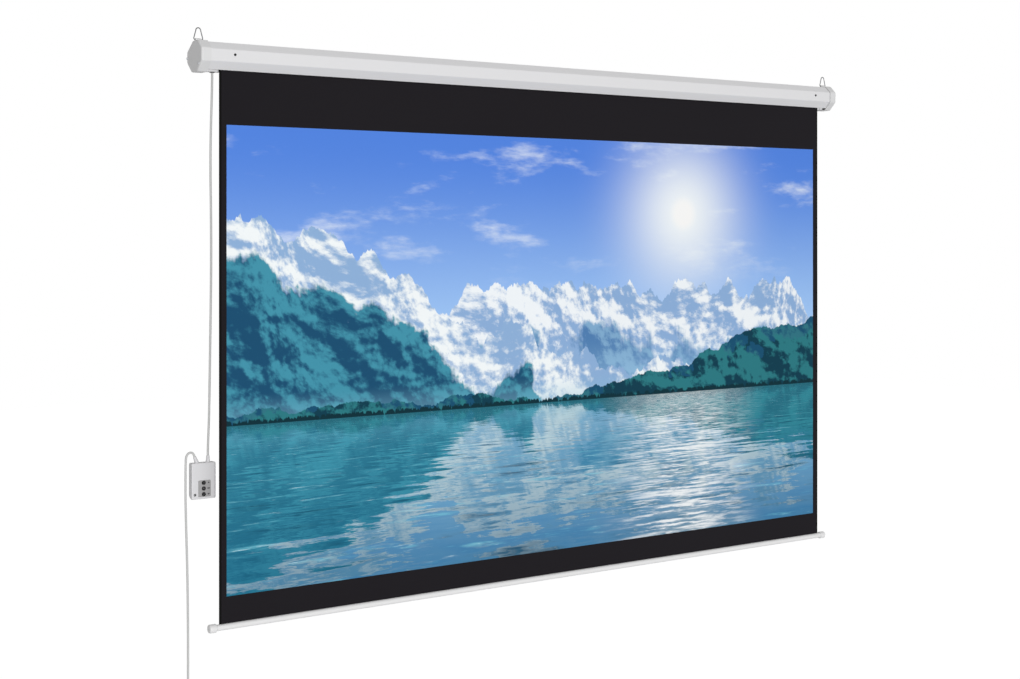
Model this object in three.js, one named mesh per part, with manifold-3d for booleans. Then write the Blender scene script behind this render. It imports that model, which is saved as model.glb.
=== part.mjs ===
// A motorized projection screen: a slim metal casing with moulded end caps, a tubular motor inside its roller,
// a black-bordered fabric with a bottom bar, and a wired control box with a mains lead.
// Millimetres. X runs along the casing, +Y points to the wall, +Z points up.
// The origin is the middle of the casing's flat back.

import * as THREE from "three";
import { mergeVertices } from "three/addons/utils/BufferGeometryUtils.js";
import Module from "manifold-3d";

const wasm = await Module();
wasm.setup();

// Clearances
const seam = 0.3; // between two pieces that touch
const fit = 0.4; // round a piece that plugs into another
const runningGap = 0.5; // round a piece that turns
const overrun = 2; // how far a cutter passes a face

// End caps and casing
const capLength = 28;
const capDepth = 90;
const capHeight = 83;
const capWall = 2.5;
const capRimRadius = 5;
const capCornerRadius = 6;
const capProud = 3;
const spigotLength = 18;
const frontTopCut = { y: 22, z: 21.5 };
const frontLowCut = { y: 26, z: 27.5 };
const backTopCut = { y: 34, z: 27.5 };
const backLowCut = { y: 26, z: 25.5 };
const casingWall = 1.5;
const casingCornerRadius = 3.5;
const slotFront = 4; // from the fabric to the slot's front lip
const slotBack = 9; // from the fabric to the slot's back lip
const lipHeight = 10;
const portRadius = 3.6;
const portBite = 1; // how deep a screw port sits in the wall
const portFrontShare = 0.42;
const portBackShare = 0.42;

// Fabric, roller and bottom bar
const fabricWidth = 2258;
const fabricThickness = 0.5;
const fabricY = -62;
const dropToPicture = 139; // black fabric between the casing and the picture
const pictureHeight = 1245;
const blackBelowPicture = 70.5;
const wrapRadius = 24;
const rollerRadius = 22.5;
const rollerWall = 1.2;
const rollerOverhang = 2; // roller past each edge of the fabric
const grooveRadius = 1.4;
const grooveDepth = 2; // from the roller's skin to the groove's middle
const grooveMouth = 1.6;
const grooveRib = 5.2;
const splineRadius = 1.1;
const barRadius = 8.4;
const barWall = 1.2;
const barSlot = 2.4;
const barBeyond = 29.5; // bar past each edge of the cloth, with its cap
const barCapRadius = 11.5;
const barCapLength = 21;
const barCapWall = 3;
const barCapRim = 3;
const hemRodRadius = 2.5;

// Motor and idler
const motorRadius = 17;
const motorLength = 420;
const headRadius = 20;
const headWidth = 11;
const crownLength = 12;
const shaftRadius = 5;
const shaftLength = 20;
const wheelLength = 18;
const studSide = 10;
const limitScrewRadius = 2.5;
const limitScrewLength = 5.5;
const limitScrewProud = 0.8;
const limitScrewSocket = 1.4;
const limitScrewTurn = 0.28; // half the angle between the two limit screws
const limitScrewAim = -2.25; // their mean direction, from +Y towards +Z
const plugLength = 31;
const plugFlange = 2.5;
const bushRadius = 7;
const idlerPinRadius = 4;
const idlerPinHead = 2.5;

// Brackets
const bracketThickness = 3;
const tongueReach = 61;
const tongueWidth = 20;
const tongueThickness = 1.5;

// Screws
const screwHeadRadius = 3.6;
const screwHeadHeight = 1.7;
const screwShankRadius = 1.6;
const screwRecess = 0.9;
const screwRecessWidth = 0.9;
const screwRecessReach = 1.9;
const capScrewLength = 46;
const frontScrewLength = 9;
const frontScrewFromEnd = 69.5; // from the end of the casing
const frontScrewZ = 6;

// Hanging bails
const bailWire = 1.4;
const bailFootSpan = 25.5;
const bailHeight = 34;
const bailTopRadius = 7;
const bailFootBend = 3.5;
const bailLift = 3; // pivot above the cap's top
const bailY = -40;
const bailBossWidth = 18;
const bailBossRadius = 3.6;
const bailPinReach = 6;

// Control box
const boxWidth = 69;
const boxHeight = 96;
const boxDepth = 18;
const boxWall = 2;
const boxCorner = 3.5;
const boxRim = 2;
const boxSplit = 3; // from the back of the box to the joint of its shells
const boxX = -1151;
const boxTop = -1070.5;
const boxBackCut = { y: 12, z: 9 };
const panelWidth = 35.5;
const panelHeight = 43.5;
const panelThickness = 1;
const panelProud = 0.3;
const panelFromBottom = 6;
const panelOffset = 1.8; // from the box's middle line
const buttonPitch = 15.1;
const buttonOffset = 2.5; // from the panel's middle line
const buttonRadius = 4;
const buttonFlange = 5;
const buttonFlangeHeight = 0.8;
const buttonProud = 1.6;
const buttonStemRadius = 1.5;
const buttonTravel = 1;
const bezelRadius = 5.8;
const bezelHeight = 0.8;
const switchSide = 6;
const switchHeight = 4.5;
const boardFromSide = 4.5; // the board to the inside of the box
const boardFromTop = 13;
const boardFromBottom = 6.4;
const boardThickness = 1.6;
const boardFromBack = 5.5;
const boardPostRadius = 3;
const boardPostInset = 8; // from the edges of the board
const terminalWidth = 24;
const terminalHeight = 10;
const terminalDepth = 8;
const boxScrewFromSide = 8.5;
const boxScrewFromBottom = 12.3;
const boxScrewLength = 15.5;
const boxPostRadius = 4;
const boxPostSplit = 9; // from the back of the box to where the screw's two posts meet

// Cable, strain reliefs and plug
const cordRadius = 3;
const reliefBase = 6;
const reliefTip = 3.9;
const reliefLength = 17;
const reliefNeck = 4;
const reliefFlange = 5.2;
const reliefFlangeHeight = 1.6;
const reliefFromFront = 10;
const reliefInX = 16.2; // from the box's middle line to the cable from the casing
const reliefOutX = -15.9; // from the box's middle line to the mains lead
const reliefOutLean = 0.38;
const grommetNeck = 5;
const grommetFlange = 7;
const grommetFlangeHeight = 1.4;
const hankLoops = 3;
const hankRun = 60;
const hankFold = 18;
const hankPitch = 8;
const hankLayer = 6.9;
const hankWaist = 10;
const hankWaistSpread = 24;
const hankLead = 12;
const hankCrossing = 0.25; // loops that the change of layer takes
const tieWidth = 10;
const tieThickness = 1.2;
const tieGap = 1.8;
const tailLength = 24;
const plugReliefLength = 16;
const plugReliefGrow = 1.2;
const plugGripLength = 24;
const plugFaceLength = 8;
const plugGrip = { x: 20, y: 15 };
const plugFace = { x: 27, y: 22 };
const plugCorner = 5;
const bladeWidth = 6.3;
const bladeThickness = 1.5;
const bladeLength = 17;
const bladeSpacing = 12.7;
const bladeBack = 3; // blades behind the plug's middle
const earthPinRadius = 2.4;
const earthPinLength = 20;
const earthPinFront = 7;

// Facets
const fine = 28;
const medium = 16;
const coarse = 12;
const hexagon = 6;
const wireSides = 8;
const bendSteps = 3;
const bowSteps = 8;
const cableUpperSteps = 45;
const cableLowerSteps = 38;
const cableSides = 8;
const hankSides = 6;
const cornerSteps = 2;
const rimSteps = 3;

// Places worked out from the sizes above
const rollerHalf = fabricWidth / 2 + rollerOverhang;
const headStart = rollerHalf + seam;
const headEnd = headStart + headWidth;
const plateInner = headEnd + seam;
const plateOuter = plateInner + bracketThickness;
const casingHalf = plateOuter + fit + spigotLength;
const overallLength = 2 * (casingHalf + capLength);
const capInner = casingHalf + seam;
const casingBottom = -capHeight / 2 + capProud;
const casingFront = -capDepth + capProud;
const pictureTop = casingBottom - dropToPicture;
const fabricBottom = pictureTop - pictureHeight - blackBelowPicture;
const barZ = fabricBottom - seam - barRadius;
const rollerY = fabricY + fabricThickness / 2 + seam + wrapRadius;
const rollerBore = rollerRadius - rollerWall;
const frontScrewX = casingHalf - frontScrewFromEnd;
const barLength = fabricWidth + 2 * barBeyond;
const leadX = -(headStart + headEnd) / 2;
const boxFront = -boxDepth;
const boxMiddleZ = boxTop - boxHeight / 2;
const boardWidth = boxWidth - 2 * (boxWall + boardFromSide);
const boardHeight = boxHeight - 2 * boxWall - boardFromTop - boardFromBottom;
const boardMiddleZ = boxTop - boxWall - boardFromTop - boardHeight / 2;
const panelZ = boxTop - boxHeight + panelFromBottom + panelHeight / 2;
const panelFrontY = boxFront - panelProud;
const reliefY = boxFront + reliefFromFront;
const boardFront = -boardFromBack - boardThickness;
const buttonRest = boxFront + boxWall + seam;
const panelX = boxX + panelOffset;
const buttonX = panelX - buttonOffset;
const barTubeHalf = barLength / 2 - barCapWall - seam;

// The cable from the casing to the control box, below the grommet
const cableUpperRoute = [
  [-1136.8, -37.5, -40.6],
  [-1136.8, -37.5, -52],
  [-1137.6, -36.6, -111],
  [-1138.8, -34, -191],
  [-1138.4, -31, -297],
  [-1135.6, -28, -402],
  [-1133.0, -24, -520],
  [-1132.6, -21, -641],
  [-1132.5, -17.5, -747],
  [-1132.5, -14, -853],
  [-1132.9, -10.5, -959],
  [-1134.3, -8.7, -1015],
  [-1134.8, -8, -1042],
  [-1134.8, -8, -1052.9],
];

// The mains lead from the leaning strain relief, over its arch and down to the hank
const cableLowerRoute = [
  [-1173.4, -8, -1054.2],
  [-1175.8, -8, -1048.4],
  [-1179.3, -8, -1044.5],
  [-1184.9, -8, -1042.6],
  [-1190.7, -8, -1044.5],
  [-1195.3, -8, -1049.4],
  [-1197.7, -8, -1057],
  [-1198.5, -8, -1070],
  [-1198.9, -8, -1100],
  [-1198.9, -8, -1160],
  [-1197.9, -8, -1218],
  [-1195.9, -8, -1285],
  [-1194.1, -8, -1350],
  [-1192.8, -8, -1429],
  [-1192.1, -8, -1500],
  [-1191.9, -8, -1570],
  [-1191.9, -8, -1620],
  [-1191.9, -8, -1650],
];

// Solids

// Shared vertices merged, empty triangles dropped and faces turned outwards.
function cleaned(geometry) {
  const bare = geometry.clone();
  bare.deleteAttribute("normal");
  bare.deleteAttribute("uv");
  const merged = mergeVertices(bare, 1e-4);
  const place = merged.getAttribute("position");
  const source = merged.getIndex().array;
  const kept = [];
  const corner = [0, 1, 2].map(() => new THREE.Vector3());
  let volume = 0;
  for (let i = 0; i < source.length; i += 3) {
    const ids = [source[i], source[i + 1], source[i + 2]];
    if (ids[0] === ids[1] || ids[1] === ids[2] || ids[0] === ids[2]) continue;
    ids.forEach((id, k) => corner[k].fromBufferAttribute(place, id));
    volume += corner[0].dot(corner[1].clone().cross(corner[2]));
    kept.push(ids);
  }
  const order = volume < 0 ? [0, 2, 1] : [0, 1, 2];
  merged.setIndex(kept.flatMap((ids) => order.map((k) => ids[k])));
  return merged;
}

function solid(geometry) {
  const closed = cleaned(geometry);
  return new wasm.Manifold(
    new wasm.Mesh({
      numProp: 3,
      vertProperties: new Float32Array(closed.getAttribute("position").array),
      triVerts: new Uint32Array(closed.getIndex().array),
    }),
  );
}

function geometryOf(body) {
  const mesh = body.getMesh();
  const geometry = new THREE.BufferGeometry();
  geometry.setAttribute("position", new THREE.BufferAttribute(mesh.vertProperties, 3));
  geometry.setIndex(new THREE.BufferAttribute(mesh.triVerts, 1));
  return geometry;
}

function joined(bodies) {
  return bodies.reduce((whole, body) => whole.add(body));
}

function cut(body, tools) {
  return tools.reduce((rest, tool) => rest.subtract(tool), body);
}

// A closed skin through rings of equally many points, with a fan at each end.
function loft(rings) {
  const count = rings[0].length;
  const index = [];
  for (let ring = 0; ring < rings.length - 1; ring += 1) {
    for (let i = 0; i < count; i += 1) {
      const a = ring * count + i;
      const b = ring * count + ((i + 1) % count);
      index.push(a, b, b + count, a, b + count, a + count);
    }
  }
  const last = (rings.length - 1) * count;
  for (let i = 1; i < count - 1; i += 1) {
    index.push(0, i + 1, i, last, last + i, last + i + 1);
  }
  const geometry = new THREE.BufferGeometry().setFromPoints(rings.flat());
  geometry.setIndex(index);
  return geometry;
}

// A block between two opposite corners.
function block(low, high) {
  const size = high.map((value, i) => value - low[i]);
  const geometry = new THREE.BoxGeometry(...size);
  return geometry.translate(...low.map((value, i) => value + size[i] / 2));
}

// A body of revolution: pairs of radius and height, turned round a line from a place towards a direction.
function turned(profile, facets, place, towards) {
  const points = profile.map(([radius, height]) => new THREE.Vector2(radius, height));
  const geometry = new THREE.LatheGeometry(points, facets);
  const up = new THREE.Vector3(0, 1, 0);
  const aim = new THREE.Quaternion().setFromUnitVectors(up, towards.clone().normalize());
  return geometry.applyQuaternion(aim).translate(...place);
}

const axisX = new THREE.Vector3(1, 0, 0);
const axisY = new THREE.Vector3(0, 1, 0);
const axisZ = new THREE.Vector3(0, 0, 1);

function rod(radius, start, end, facets, place, towards) {
  const profile = [[0, start], [radius, start], [radius, end], [0, end]];
  return turned(profile, facets, place, towards);
}

function sleeve(inner, outer, start, end, facets, place, towards) {
  const profile = [[inner, start], [outer, start], [outer, end], [inner, end], [inner, start]];
  return turned(profile, facets, place, towards);
}

// An outline of points in Y and Z, drawn out along X.
function prismX(points, start, end) {
  const shape = new THREE.Shape(points);
  const geometry = new THREE.ExtrudeGeometry(shape, { depth: end - start, bevelEnabled: false });
  const basis = new THREE.Matrix4().makeBasis(axisY, axisZ, axisX);
  return geometry.applyMatrix4(basis).translate(start, 0, 0);
}

// The two ends of a span on the left (-1) or right (+1) side, lowest first.
function span(side, near, far) {
  return [side * near, side * far].sort((a, b) => a - b);
}

// Outlines

const edges = ["bottom", "lowBack", "back", "topBack", "top", "topFront", "front", "lowFront"];
const edgeOf = (word) => edges.indexOf(word);

// The end cap's outline in Y and Z, from its low front corner round by the back.
function capCorners() {
  const top = capHeight / 2;
  return [
    [-capDepth + frontLowCut.y, -top],
    [-backLowCut.y, -top],
    [0, -top + backLowCut.z],
    [0, top - backTopCut.z],
    [-backTopCut.y, top],
    [-capDepth + frontTopCut.y, top],
    [-capDepth, top - frontTopCut.z],
    [-capDepth, -top + frontLowCut.z],
  ].map(([y, z]) => new THREE.Vector2(y, z));
}

function inwardOf(from, to) {
  const along = to.clone().sub(from).normalize();
  return new THREE.Vector2(-along.y, along.x);
}

// Where two lines meet, each given by a point and a direction.
function meeting(first, second) {
  const between = second.point.clone().sub(first.point);
  const step = between.cross(second.along) / first.along.cross(second.along);
  return first.point.clone().addScaledVector(first.along, step);
}

// The cap's outline with its edges moved inwards, the edge on the wall by a distance of its own.
function inset(distance, backDistance) {
  const corners = capCorners();
  const count = corners.length;
  const lines = corners.map((from, i) => {
    const to = corners[(i + 1) % count];
    const shift = i === edgeOf("back") ? backDistance : distance;
    const point = from.clone().addScaledVector(inwardOf(from, to), shift);
    return { point, along: to.clone().sub(from).normalize() };
  });
  return lines.map((line, i) => meeting(lines[(i + count - 1) % count], line));
}

// A place inside the cap's outline, at a share of one edge and a distance inwards.
function insideEdge(edge, share, distance) {
  const corners = capCorners();
  const from = corners[edge];
  const to = corners[(edge + 1) % corners.length];
  return from.clone().lerp(to, share).addScaledVector(inwardOf(from, to), distance);
}

function rounded(corners, radius, steps) {
  const count = corners.length;
  return corners.flatMap((corner, i) => {
    const before = corners[(i + count - 1) % count].clone().sub(corner).normalize();
    const after = corners[(i + 1) % count].clone().sub(corner).normalize();
    const half = Math.acos(before.dot(after)) / 2;
    const bisector = before.clone().add(after).normalize();
    const centre = corner.clone().addScaledVector(bisector, radius / Math.sin(half));
    const start = corner.clone().addScaledVector(before, radius / Math.tan(half)).sub(centre);
    const end = corner.clone().addScaledVector(after, radius / Math.tan(half)).sub(centre);
    const turn = Math.atan2(start.cross(end), start.dot(end));
    return Array.from({ length: steps + 1 }, (_, k) => {
      const angle = (turn * k) / steps;
      const x = start.x * Math.cos(angle) - start.y * Math.sin(angle);
      const y = start.x * Math.sin(angle) + start.y * Math.cos(angle);
      return new THREE.Vector2(centre.x + x, centre.y + y);
    });
  });
}

function rectangle(width, height) {
  return [[-1, -1], [1, -1], [1, 1], [-1, 1]].map(
    ([x, y]) => new THREE.Vector2((x * width) / 2, (y * height) / 2),
  );
}

// Fasteners

// A pan-head screw with a cross recess: its head lies at the place and its shank runs against the aim.
function screw(place, outwards, length) {
  const head = [
    [0, -length],
    [screwShankRadius, -length],
    [screwShankRadius, seam],
    [screwHeadRadius, seam],
    [screwHeadRadius, seam + screwHeadHeight / 2],
    [screwHeadRadius - screwHeadHeight / 2, seam + screwHeadHeight],
    [0, seam + screwHeadHeight],
  ];
  const aim = new THREE.Quaternion().setFromUnitVectors(axisY, outwards);
  const recesses = [0, 1].map((turn) => {
    const reach = turn ? screwRecessWidth / 2 : screwRecessReach;
    const width = turn ? screwRecessReach : screwRecessWidth / 2;
    const top = seam + screwHeadHeight;
    const bar = block([-reach, top - screwRecess, -width], [reach, top + overrun, width]);
    return solid(bar.applyQuaternion(aim).translate(...place));
  });
  return cut(solid(turned(head, coarse, place, outwards)), recesses);
}

// Casing and end caps

const slotLow = fabricY - slotFront;
const slotHigh = fabricY + slotBack;
const ports = [
  insideEdge(edgeOf("lowFront"), portFrontShare, capProud + casingWall + portRadius - portBite),
  insideEdge(edgeOf("back"), portBackShare, casingWall + portRadius - portBite),
];

// Rods along X on the two screw ports.
function portRods(radius, start, end) {
  return ports.map((port) => solid(rod(radius, start, end, coarse, [0, port.x, port.y], axisX)));
}

// The room round the slot's two lips, for pieces that plug into the casing.
function lipRoom(start, end) {
  const low = [start, slotLow - casingWall - fit, casingBottom - overrun];
  const high = [end, slotHigh + casingWall + fit, casingBottom + lipHeight + fit];
  return solid(block(low, high));
}

function casingShell() {
  const outline = rounded(inset(capProud, 0), casingCornerRadius, cornerSteps);
  const hollow = inset(capProud + casingWall, casingWall);
  const hollowOutline = rounded(hollow, casingCornerRadius - casingWall, cornerSteps);
  const outer = solid(prismX(outline, -casingHalf, casingHalf));
  const inner = solid(prismX(hollowOutline, -casingHalf - overrun, casingHalf + overrun));
  const lipTop = casingBottom + lipHeight;
  const lips = [slotLow - casingWall, slotHigh].map((y) => {
    const lip = block([-casingHalf, y, casingBottom], [casingHalf, y + casingWall, lipTop]);
    return outer.intersect(solid(lip));
  });
  const portOuter = portRods(portRadius, -casingHalf, casingHalf).map((port) => port.intersect(outer));
  const slot = block(
    [-casingHalf - overrun, slotLow, casingBottom - overrun],
    [casingHalf + overrun, slotHigh, lipTop + overrun],
  );
  const holePlace = [leadX, rollerY, casingBottom];
  const leadHole = rod(grommetNeck + seam, -overrun, casingWall + overrun, medium, holePlace, axisZ);
  const screwHoles = [-1, 1].map((side) => {
    const place = [side * frontScrewX, casingFront, frontScrewZ];
    return solid(rod(screwShankRadius + seam, -overrun, casingWall + overrun, coarse, place, axisY));
  });
  const walls = joined([outer.subtract(inner), ...lips, ...portOuter]);
  const bores = portRods(screwShankRadius + seam, -casingHalf - overrun, casingHalf + overrun);
  return cut(walls, [solid(slot), solid(leadHole), ...screwHoles, ...bores]);
}

function capSkin(side) {
  const rings = [inset(0, 0)].map((corners) => ({ x: capInner, corners }));
  for (let k = 0; k <= rimSteps; k += 1) {
    const angle = (Math.PI / 2) * (k / rimSteps);
    const depth = capRimRadius * (1 - Math.cos(angle));
    const x = overallLength / 2 - capRimRadius * (1 - Math.sin(angle));
    rings.push({ x, corners: inset(depth, depth) });
  }
  return loft(
    rings.map(({ x, corners }) =>
      rounded(corners, capCornerRadius, cornerSteps).map((p) => new THREE.Vector3(side * x, p.x, p.y)),
    ),
  );
}

function bailPivot(side) {
  return [side * (overallLength / 2 - capLength / 2), bailY, capHeight / 2 + bailLift];
}

function endCap(side) {
  const face = overallLength / 2 - capWall;
  const hollow = rounded(inset(capWall, capWall), capCornerRadius - capWall, cornerSteps);
  const cavity = prismX(hollow, ...span(side, capInner - overrun, face));
  const plug = capProud + casingWall + fit;
  const spigotRoot = capInner + capWall;
  const spigotEnd = casingHalf - spigotLength;
  const spigotOuter = rounded(inset(plug, casingWall + fit), casingCornerRadius - casingWall, cornerSteps);
  const spigotInner = inset(plug + capWall, casingWall + fit + capWall);
  const spigot = cut(solid(prismX(spigotOuter, ...span(side, spigotEnd, spigotRoot))), [
    solid(prismX(spigotInner, ...span(side, spigotEnd - overrun, spigotRoot + overrun))),
    lipRoom(...span(side, spigotEnd - overrun, capInner)),
    ...portRods(portRadius + fit, ...span(side, spigotEnd - overrun, capInner)),
  ]);
  const flange = cut(solid(prismX(inset(capWall, capWall), ...span(side, capInner, spigotRoot))), [
    solid(prismX(spigotInner, ...span(side, capInner - overrun, spigotRoot + overrun))),
  ]);
  const skin = solid(capSkin(side)).subtract(solid(cavity));
  const posts = portRods(portRadius, ...span(side, capInner, face + capWall / 2));
  const pivot = bailPivot(side);
  const half = bailBossWidth / 2;
  const boss = rod(bailBossRadius, -half, half, medium, pivot, axisX);
  const saddle = block(
    [pivot[0] - half, bailY - bailBossRadius, capHeight / 2 - capWall],
    [pivot[0] + half, bailY + bailBossRadius, pivot[2]],
  );
  const pinBore = rod(bailWire + runningGap, -half - overrun, half + overrun, coarse, pivot, axisX);
  const boreSpan = span(side, capInner - overrun, face + capWall + overrun);
  const screwBores = portRods(screwShankRadius + seam, ...boreSpan);
  const whole = joined([skin, flange, spigot, ...posts, solid(boss), solid(saddle)]);
  return cut(whole, [solid(pinBore), ...screwBores]);
}

function bracketPlate(side, hole) {
  const shape = inset(capProud + casingWall + fit, casingWall + fit);
  const plate = solid(prismX(shape, ...span(side, plateInner, plateOuter)));
  const around = span(side, plateInner - overrun, plateOuter + overrun);
  const tongueY = casingFront + casingWall + fit;
  const [near, far] = span(side, plateInner - tongueReach, plateInner + bracketThickness / 2);
  const tongue = block(
    [near, tongueY, frontScrewZ - tongueWidth / 2],
    [far, tongueY + tongueThickness, frontScrewZ + tongueWidth / 2],
  );
  const place = [side * frontScrewX, tongueY, frontScrewZ];
  const screwHole = rod(screwShankRadius + seam, -overrun, tongueThickness + overrun, coarse, place, axisY);
  const room = [lipRoom(...around), ...portRods(portRadius + fit, ...around)];
  return cut(joined([cut(plate, room), solid(tongue)]), [solid(screwHole), hole]);
}

function motorBracket() {
  const half = studSide / 2 + fit;
  const low = [-plateOuter - overrun, rollerY - half, -half];
  return bracketPlate(-1, solid(block(low, [-plateInner + overrun, rollerY + half, half])));
}

function idlerBracket() {
  const place = [0, rollerY, 0];
  const hole = rod(idlerPinRadius + fit, plateInner - overrun, plateOuter + overrun, medium, place, axisX);
  return bracketPlate(1, solid(hole));
}

// Roller and its drive

const rollerAxis = [0, rollerY, 0];

// The rib inside the roller that holds the groove, widened by a clearance for the wheels that fit round it.
function keyway(start, end, clearance) {
  const half = grooveRib / 2 + clearance;
  const depth = grooveDepth + splineRadius + rollerWall + clearance;
  const low = [start, rollerY - half, rollerRadius - depth];
  return solid(block(low, [end, rollerY + half, rollerRadius - rollerWall / 2]));
}

function rollerTube() {
  const tube = solid(sleeve(rollerBore, rollerRadius, -rollerHalf, rollerHalf, fine, rollerAxis, axisX));
  const far = rollerHalf + overrun;
  const grooveZ = rollerRadius - grooveDepth;
  const bore = rod(grooveRadius, -far, far, coarse, [0, rollerY, grooveZ], axisX);
  const mouth = block(
    [-far, rollerY - grooveMouth / 2, grooveZ],
    [far, rollerY + grooveMouth / 2, rollerRadius + overrun],
  );
  return cut(joined([tube, keyway(-rollerHalf, rollerHalf, 0)]), [solid(bore), solid(mouth)]);
}

function wheel(inner, start, end, facets) {
  const body = sleeve(inner, rollerBore - fit, start, end, facets, rollerAxis, axisX);
  return solid(body).subtract(keyway(start - overrun, end + overrun, fit));
}

const motorEnd = -rollerHalf + motorLength;
const wheelStart = motorEnd + seam;

function driveWheel() {
  const body = solid(rod(rollerBore - fit, wheelStart, wheelStart + wheelLength, fine, rollerAxis, axisX));
  const boreEnd = wheelStart + wheelLength + overrun;
  const bore = rod(shaftRadius + seam, wheelStart - overrun, boreEnd, hexagon, rollerAxis, axisX);
  return cut(body, [solid(bore), keyway(wheelStart - overrun, wheelStart + wheelLength + overrun, fit)]);
}

function idlerPlug() {
  const start = rollerHalf - plugLength;
  const flange = sleeve(
    bushRadius + seam, rollerRadius, rollerHalf + seam, rollerHalf + seam + plugFlange, fine, rollerAxis, axisX,
  );
  const core = wheel(bushRadius + seam, start, rollerHalf, fine);
  const neckRadius = rollerBore - grooveDepth - grooveRadius - rollerWall;
  const neckEnd = rollerHalf + seam + plugFlange;
  const neck = sleeve(bushRadius + seam, neckRadius, start, neckEnd, fine, rollerAxis, axisX);
  return joined([core, solid(flange), solid(neck)]);
}

function idlerPin() {
  const inner = rollerHalf - plugLength;
  const shoulder = rollerHalf + plugFlange + seam + runningGap;
  const profile = [
    [0, inner],
    [idlerPinRadius, inner],
    [idlerPinRadius, shoulder],
    [bushRadius, shoulder],
    [bushRadius, plateInner - seam],
    [idlerPinRadius, plateInner - seam],
    [idlerPinRadius, plateOuter + idlerPinHead],
    [0, plateOuter + idlerPinHead],
  ];
  return turned(profile, medium, rollerAxis, axisX);
}

function limitAim(sign) {
  const angle = limitScrewAim + sign * limitScrewTurn;
  return new THREE.Vector3(0, Math.cos(angle), Math.sin(angle));
}

const headMiddle = [-(headStart + headEnd) / 2, rollerY, 0];
const limitScrewFoot = headRadius + limitScrewProud - limitScrewLength;

function motorHead() {
  const head = rod(headRadius, -headEnd, -headStart, fine, rollerAxis, axisX);
  const half = studSide / 2;
  const low = [-plateOuter - capWall, rollerY - half, -half];
  const stud = block(low, [-headEnd + overrun, rollerY + half, half]);
  const sockets = [-1, 1].map((sign) => {
    const place = limitScrewFoot - seam;
    const radius = limitScrewRadius + runningGap;
    const bore = rod(radius, place, headRadius + overrun, medium, headMiddle, limitAim(sign));
    return solid(bore);
  });
  return cut(joined([solid(head), solid(stud)]), sockets);
}

function limitScrew(sign) {
  const end = headRadius + limitScrewProud;
  const aim = limitAim(sign);
  const body = rod(limitScrewRadius, limitScrewFoot, end, coarse, headMiddle, aim);
  const socket = rod(limitScrewSocket, end - limitScrewLength / 2, end + overrun, hexagon, headMiddle, aim);
  return solid(body).subtract(solid(socket));
}

// Fabric and bottom bar

function fabricSheet() {
  const half = fabricWidth / 2;
  const low = [-half, fabricY - fabricThickness / 2, fabricBottom];
  return block(low, [half, fabricY + fabricThickness / 2, 0]);
}

function barTube() {
  const place = [0, fabricY, barZ];
  const tube = sleeve(barRadius - barWall, barRadius, -barTubeHalf, barTubeHalf, fine, place, axisX);
  const far = barTubeHalf + overrun;
  const slotTop = barZ + barRadius + overrun;
  const slot = block([-far, fabricY - barSlot / 2, barZ], [far, fabricY + barSlot / 2, slotTop]);
  return solid(tube).subtract(solid(slot));
}

function barCap(side) {
  const end = barLength / 2;
  const start = end - barCapLength;
  const floor = end - barCapWall;
  const mouth = barRadius + seam;
  const profile = [
    [0, floor],
    [mouth, floor],
    [mouth, start],
    [barCapRadius - barCapWall / 2, start],
    [barCapRadius, start + barCapWall / 2],
    [barCapRadius, end - barCapRim],
  ];
  for (let k = 1; k <= rimSteps; k += 1) {
    const angle = (Math.PI / 2) * (k / rimSteps);
    profile.push([barCapRadius - barCapRim * (1 - Math.cos(angle)), end - barCapRim * (1 - Math.sin(angle))]);
  }
  profile.push([0, end]);
  return turned(profile, fine, [0, fabricY, barZ], side > 0 ? axisX : axisX.clone().negate());
}

// The fabric's hem: a pocket round the rod, and the strip that leaves it through the tube's slot.
function fabricHem() {
  const half = fabricWidth / 2;
  const inner = hemRodRadius + seam;
  const pocket = sleeve(inner, inner + fabricThickness, -half, half, medium, [0, fabricY, barZ], axisX);
  const low = [-half, fabricY - fabricThickness / 2, barZ + inner + fabricThickness / 2];
  const strip = block(low, [half, fabricY + fabricThickness / 2, barZ + barRadius]);
  return joined([solid(pocket), solid(strip)]);
}

// Hanging bail

function bailPath(side) {
  const [x, y, z] = bailPivot(side);
  const half = bailFootSpan / 2;
  const inner = bailBossWidth / 2 - bailPinReach;
  const topZ = bailHeight - bailLift - bailTopRadius;
  const points = [new THREE.Vector3(-inner, 0, 0), new THREE.Vector3(-half + bailFootBend, 0, 0)];
  for (let k = 1; k <= bendSteps; k += 1) {
    const angle = (Math.PI / 2) * (k / bendSteps);
    const back = bailFootBend * (1 - Math.sin(angle));
    points.push(new THREE.Vector3(-half + back, 0, bailFootBend * (1 - Math.cos(angle))));
  }
  for (let k = 0; k <= bowSteps / 2; k += 1) {
    const angle = (Math.PI / 2) * (k / (bowSteps / 2));
    points.push(new THREE.Vector3(-bailTopRadius * Math.cos(angle), 0, topZ + bailTopRadius * Math.sin(angle)));
  }
  const mirrored = points.slice(0, -1).reverse();
  const whole = [...points, ...mirrored.map((p) => new THREE.Vector3(-p.x, 0, p.z))];
  return whole.map((p) => p.add(new THREE.Vector3(x, y, z)));
}

// A tube of rings along a list of points, each ring turned on from the last without twist.
function tubeThrough(points, radius, sides) {
  const last = points.length - 1;
  const normal = new THREE.Vector3();
  let previous = null;
  const rings = points.map((point, i) => {
    const ahead = points[Math.min(i + 1, last)];
    const behind = points[Math.max(i - 1, 0)];
    const along = ahead.clone().sub(behind).normalize();
    if (previous) {
      normal.applyQuaternion(new THREE.Quaternion().setFromUnitVectors(previous, along));
    } else {
      const guide = Math.abs(along.y) < Math.SQRT1_2 ? axisY : axisX;
      normal.copy(guide).projectOnPlane(along).normalize();
    }
    previous = along;
    const side = along.clone().cross(normal);
    return Array.from({ length: sides }, (_, k) => {
      const angle = (2 * Math.PI * k) / sides;
      const offset = normal.clone().multiplyScalar(Math.cos(angle)).addScaledVector(side, Math.sin(angle));
      return point.clone().addScaledVector(offset, radius);
    });
  });
  return loft(rings);
}

// Control box

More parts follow.
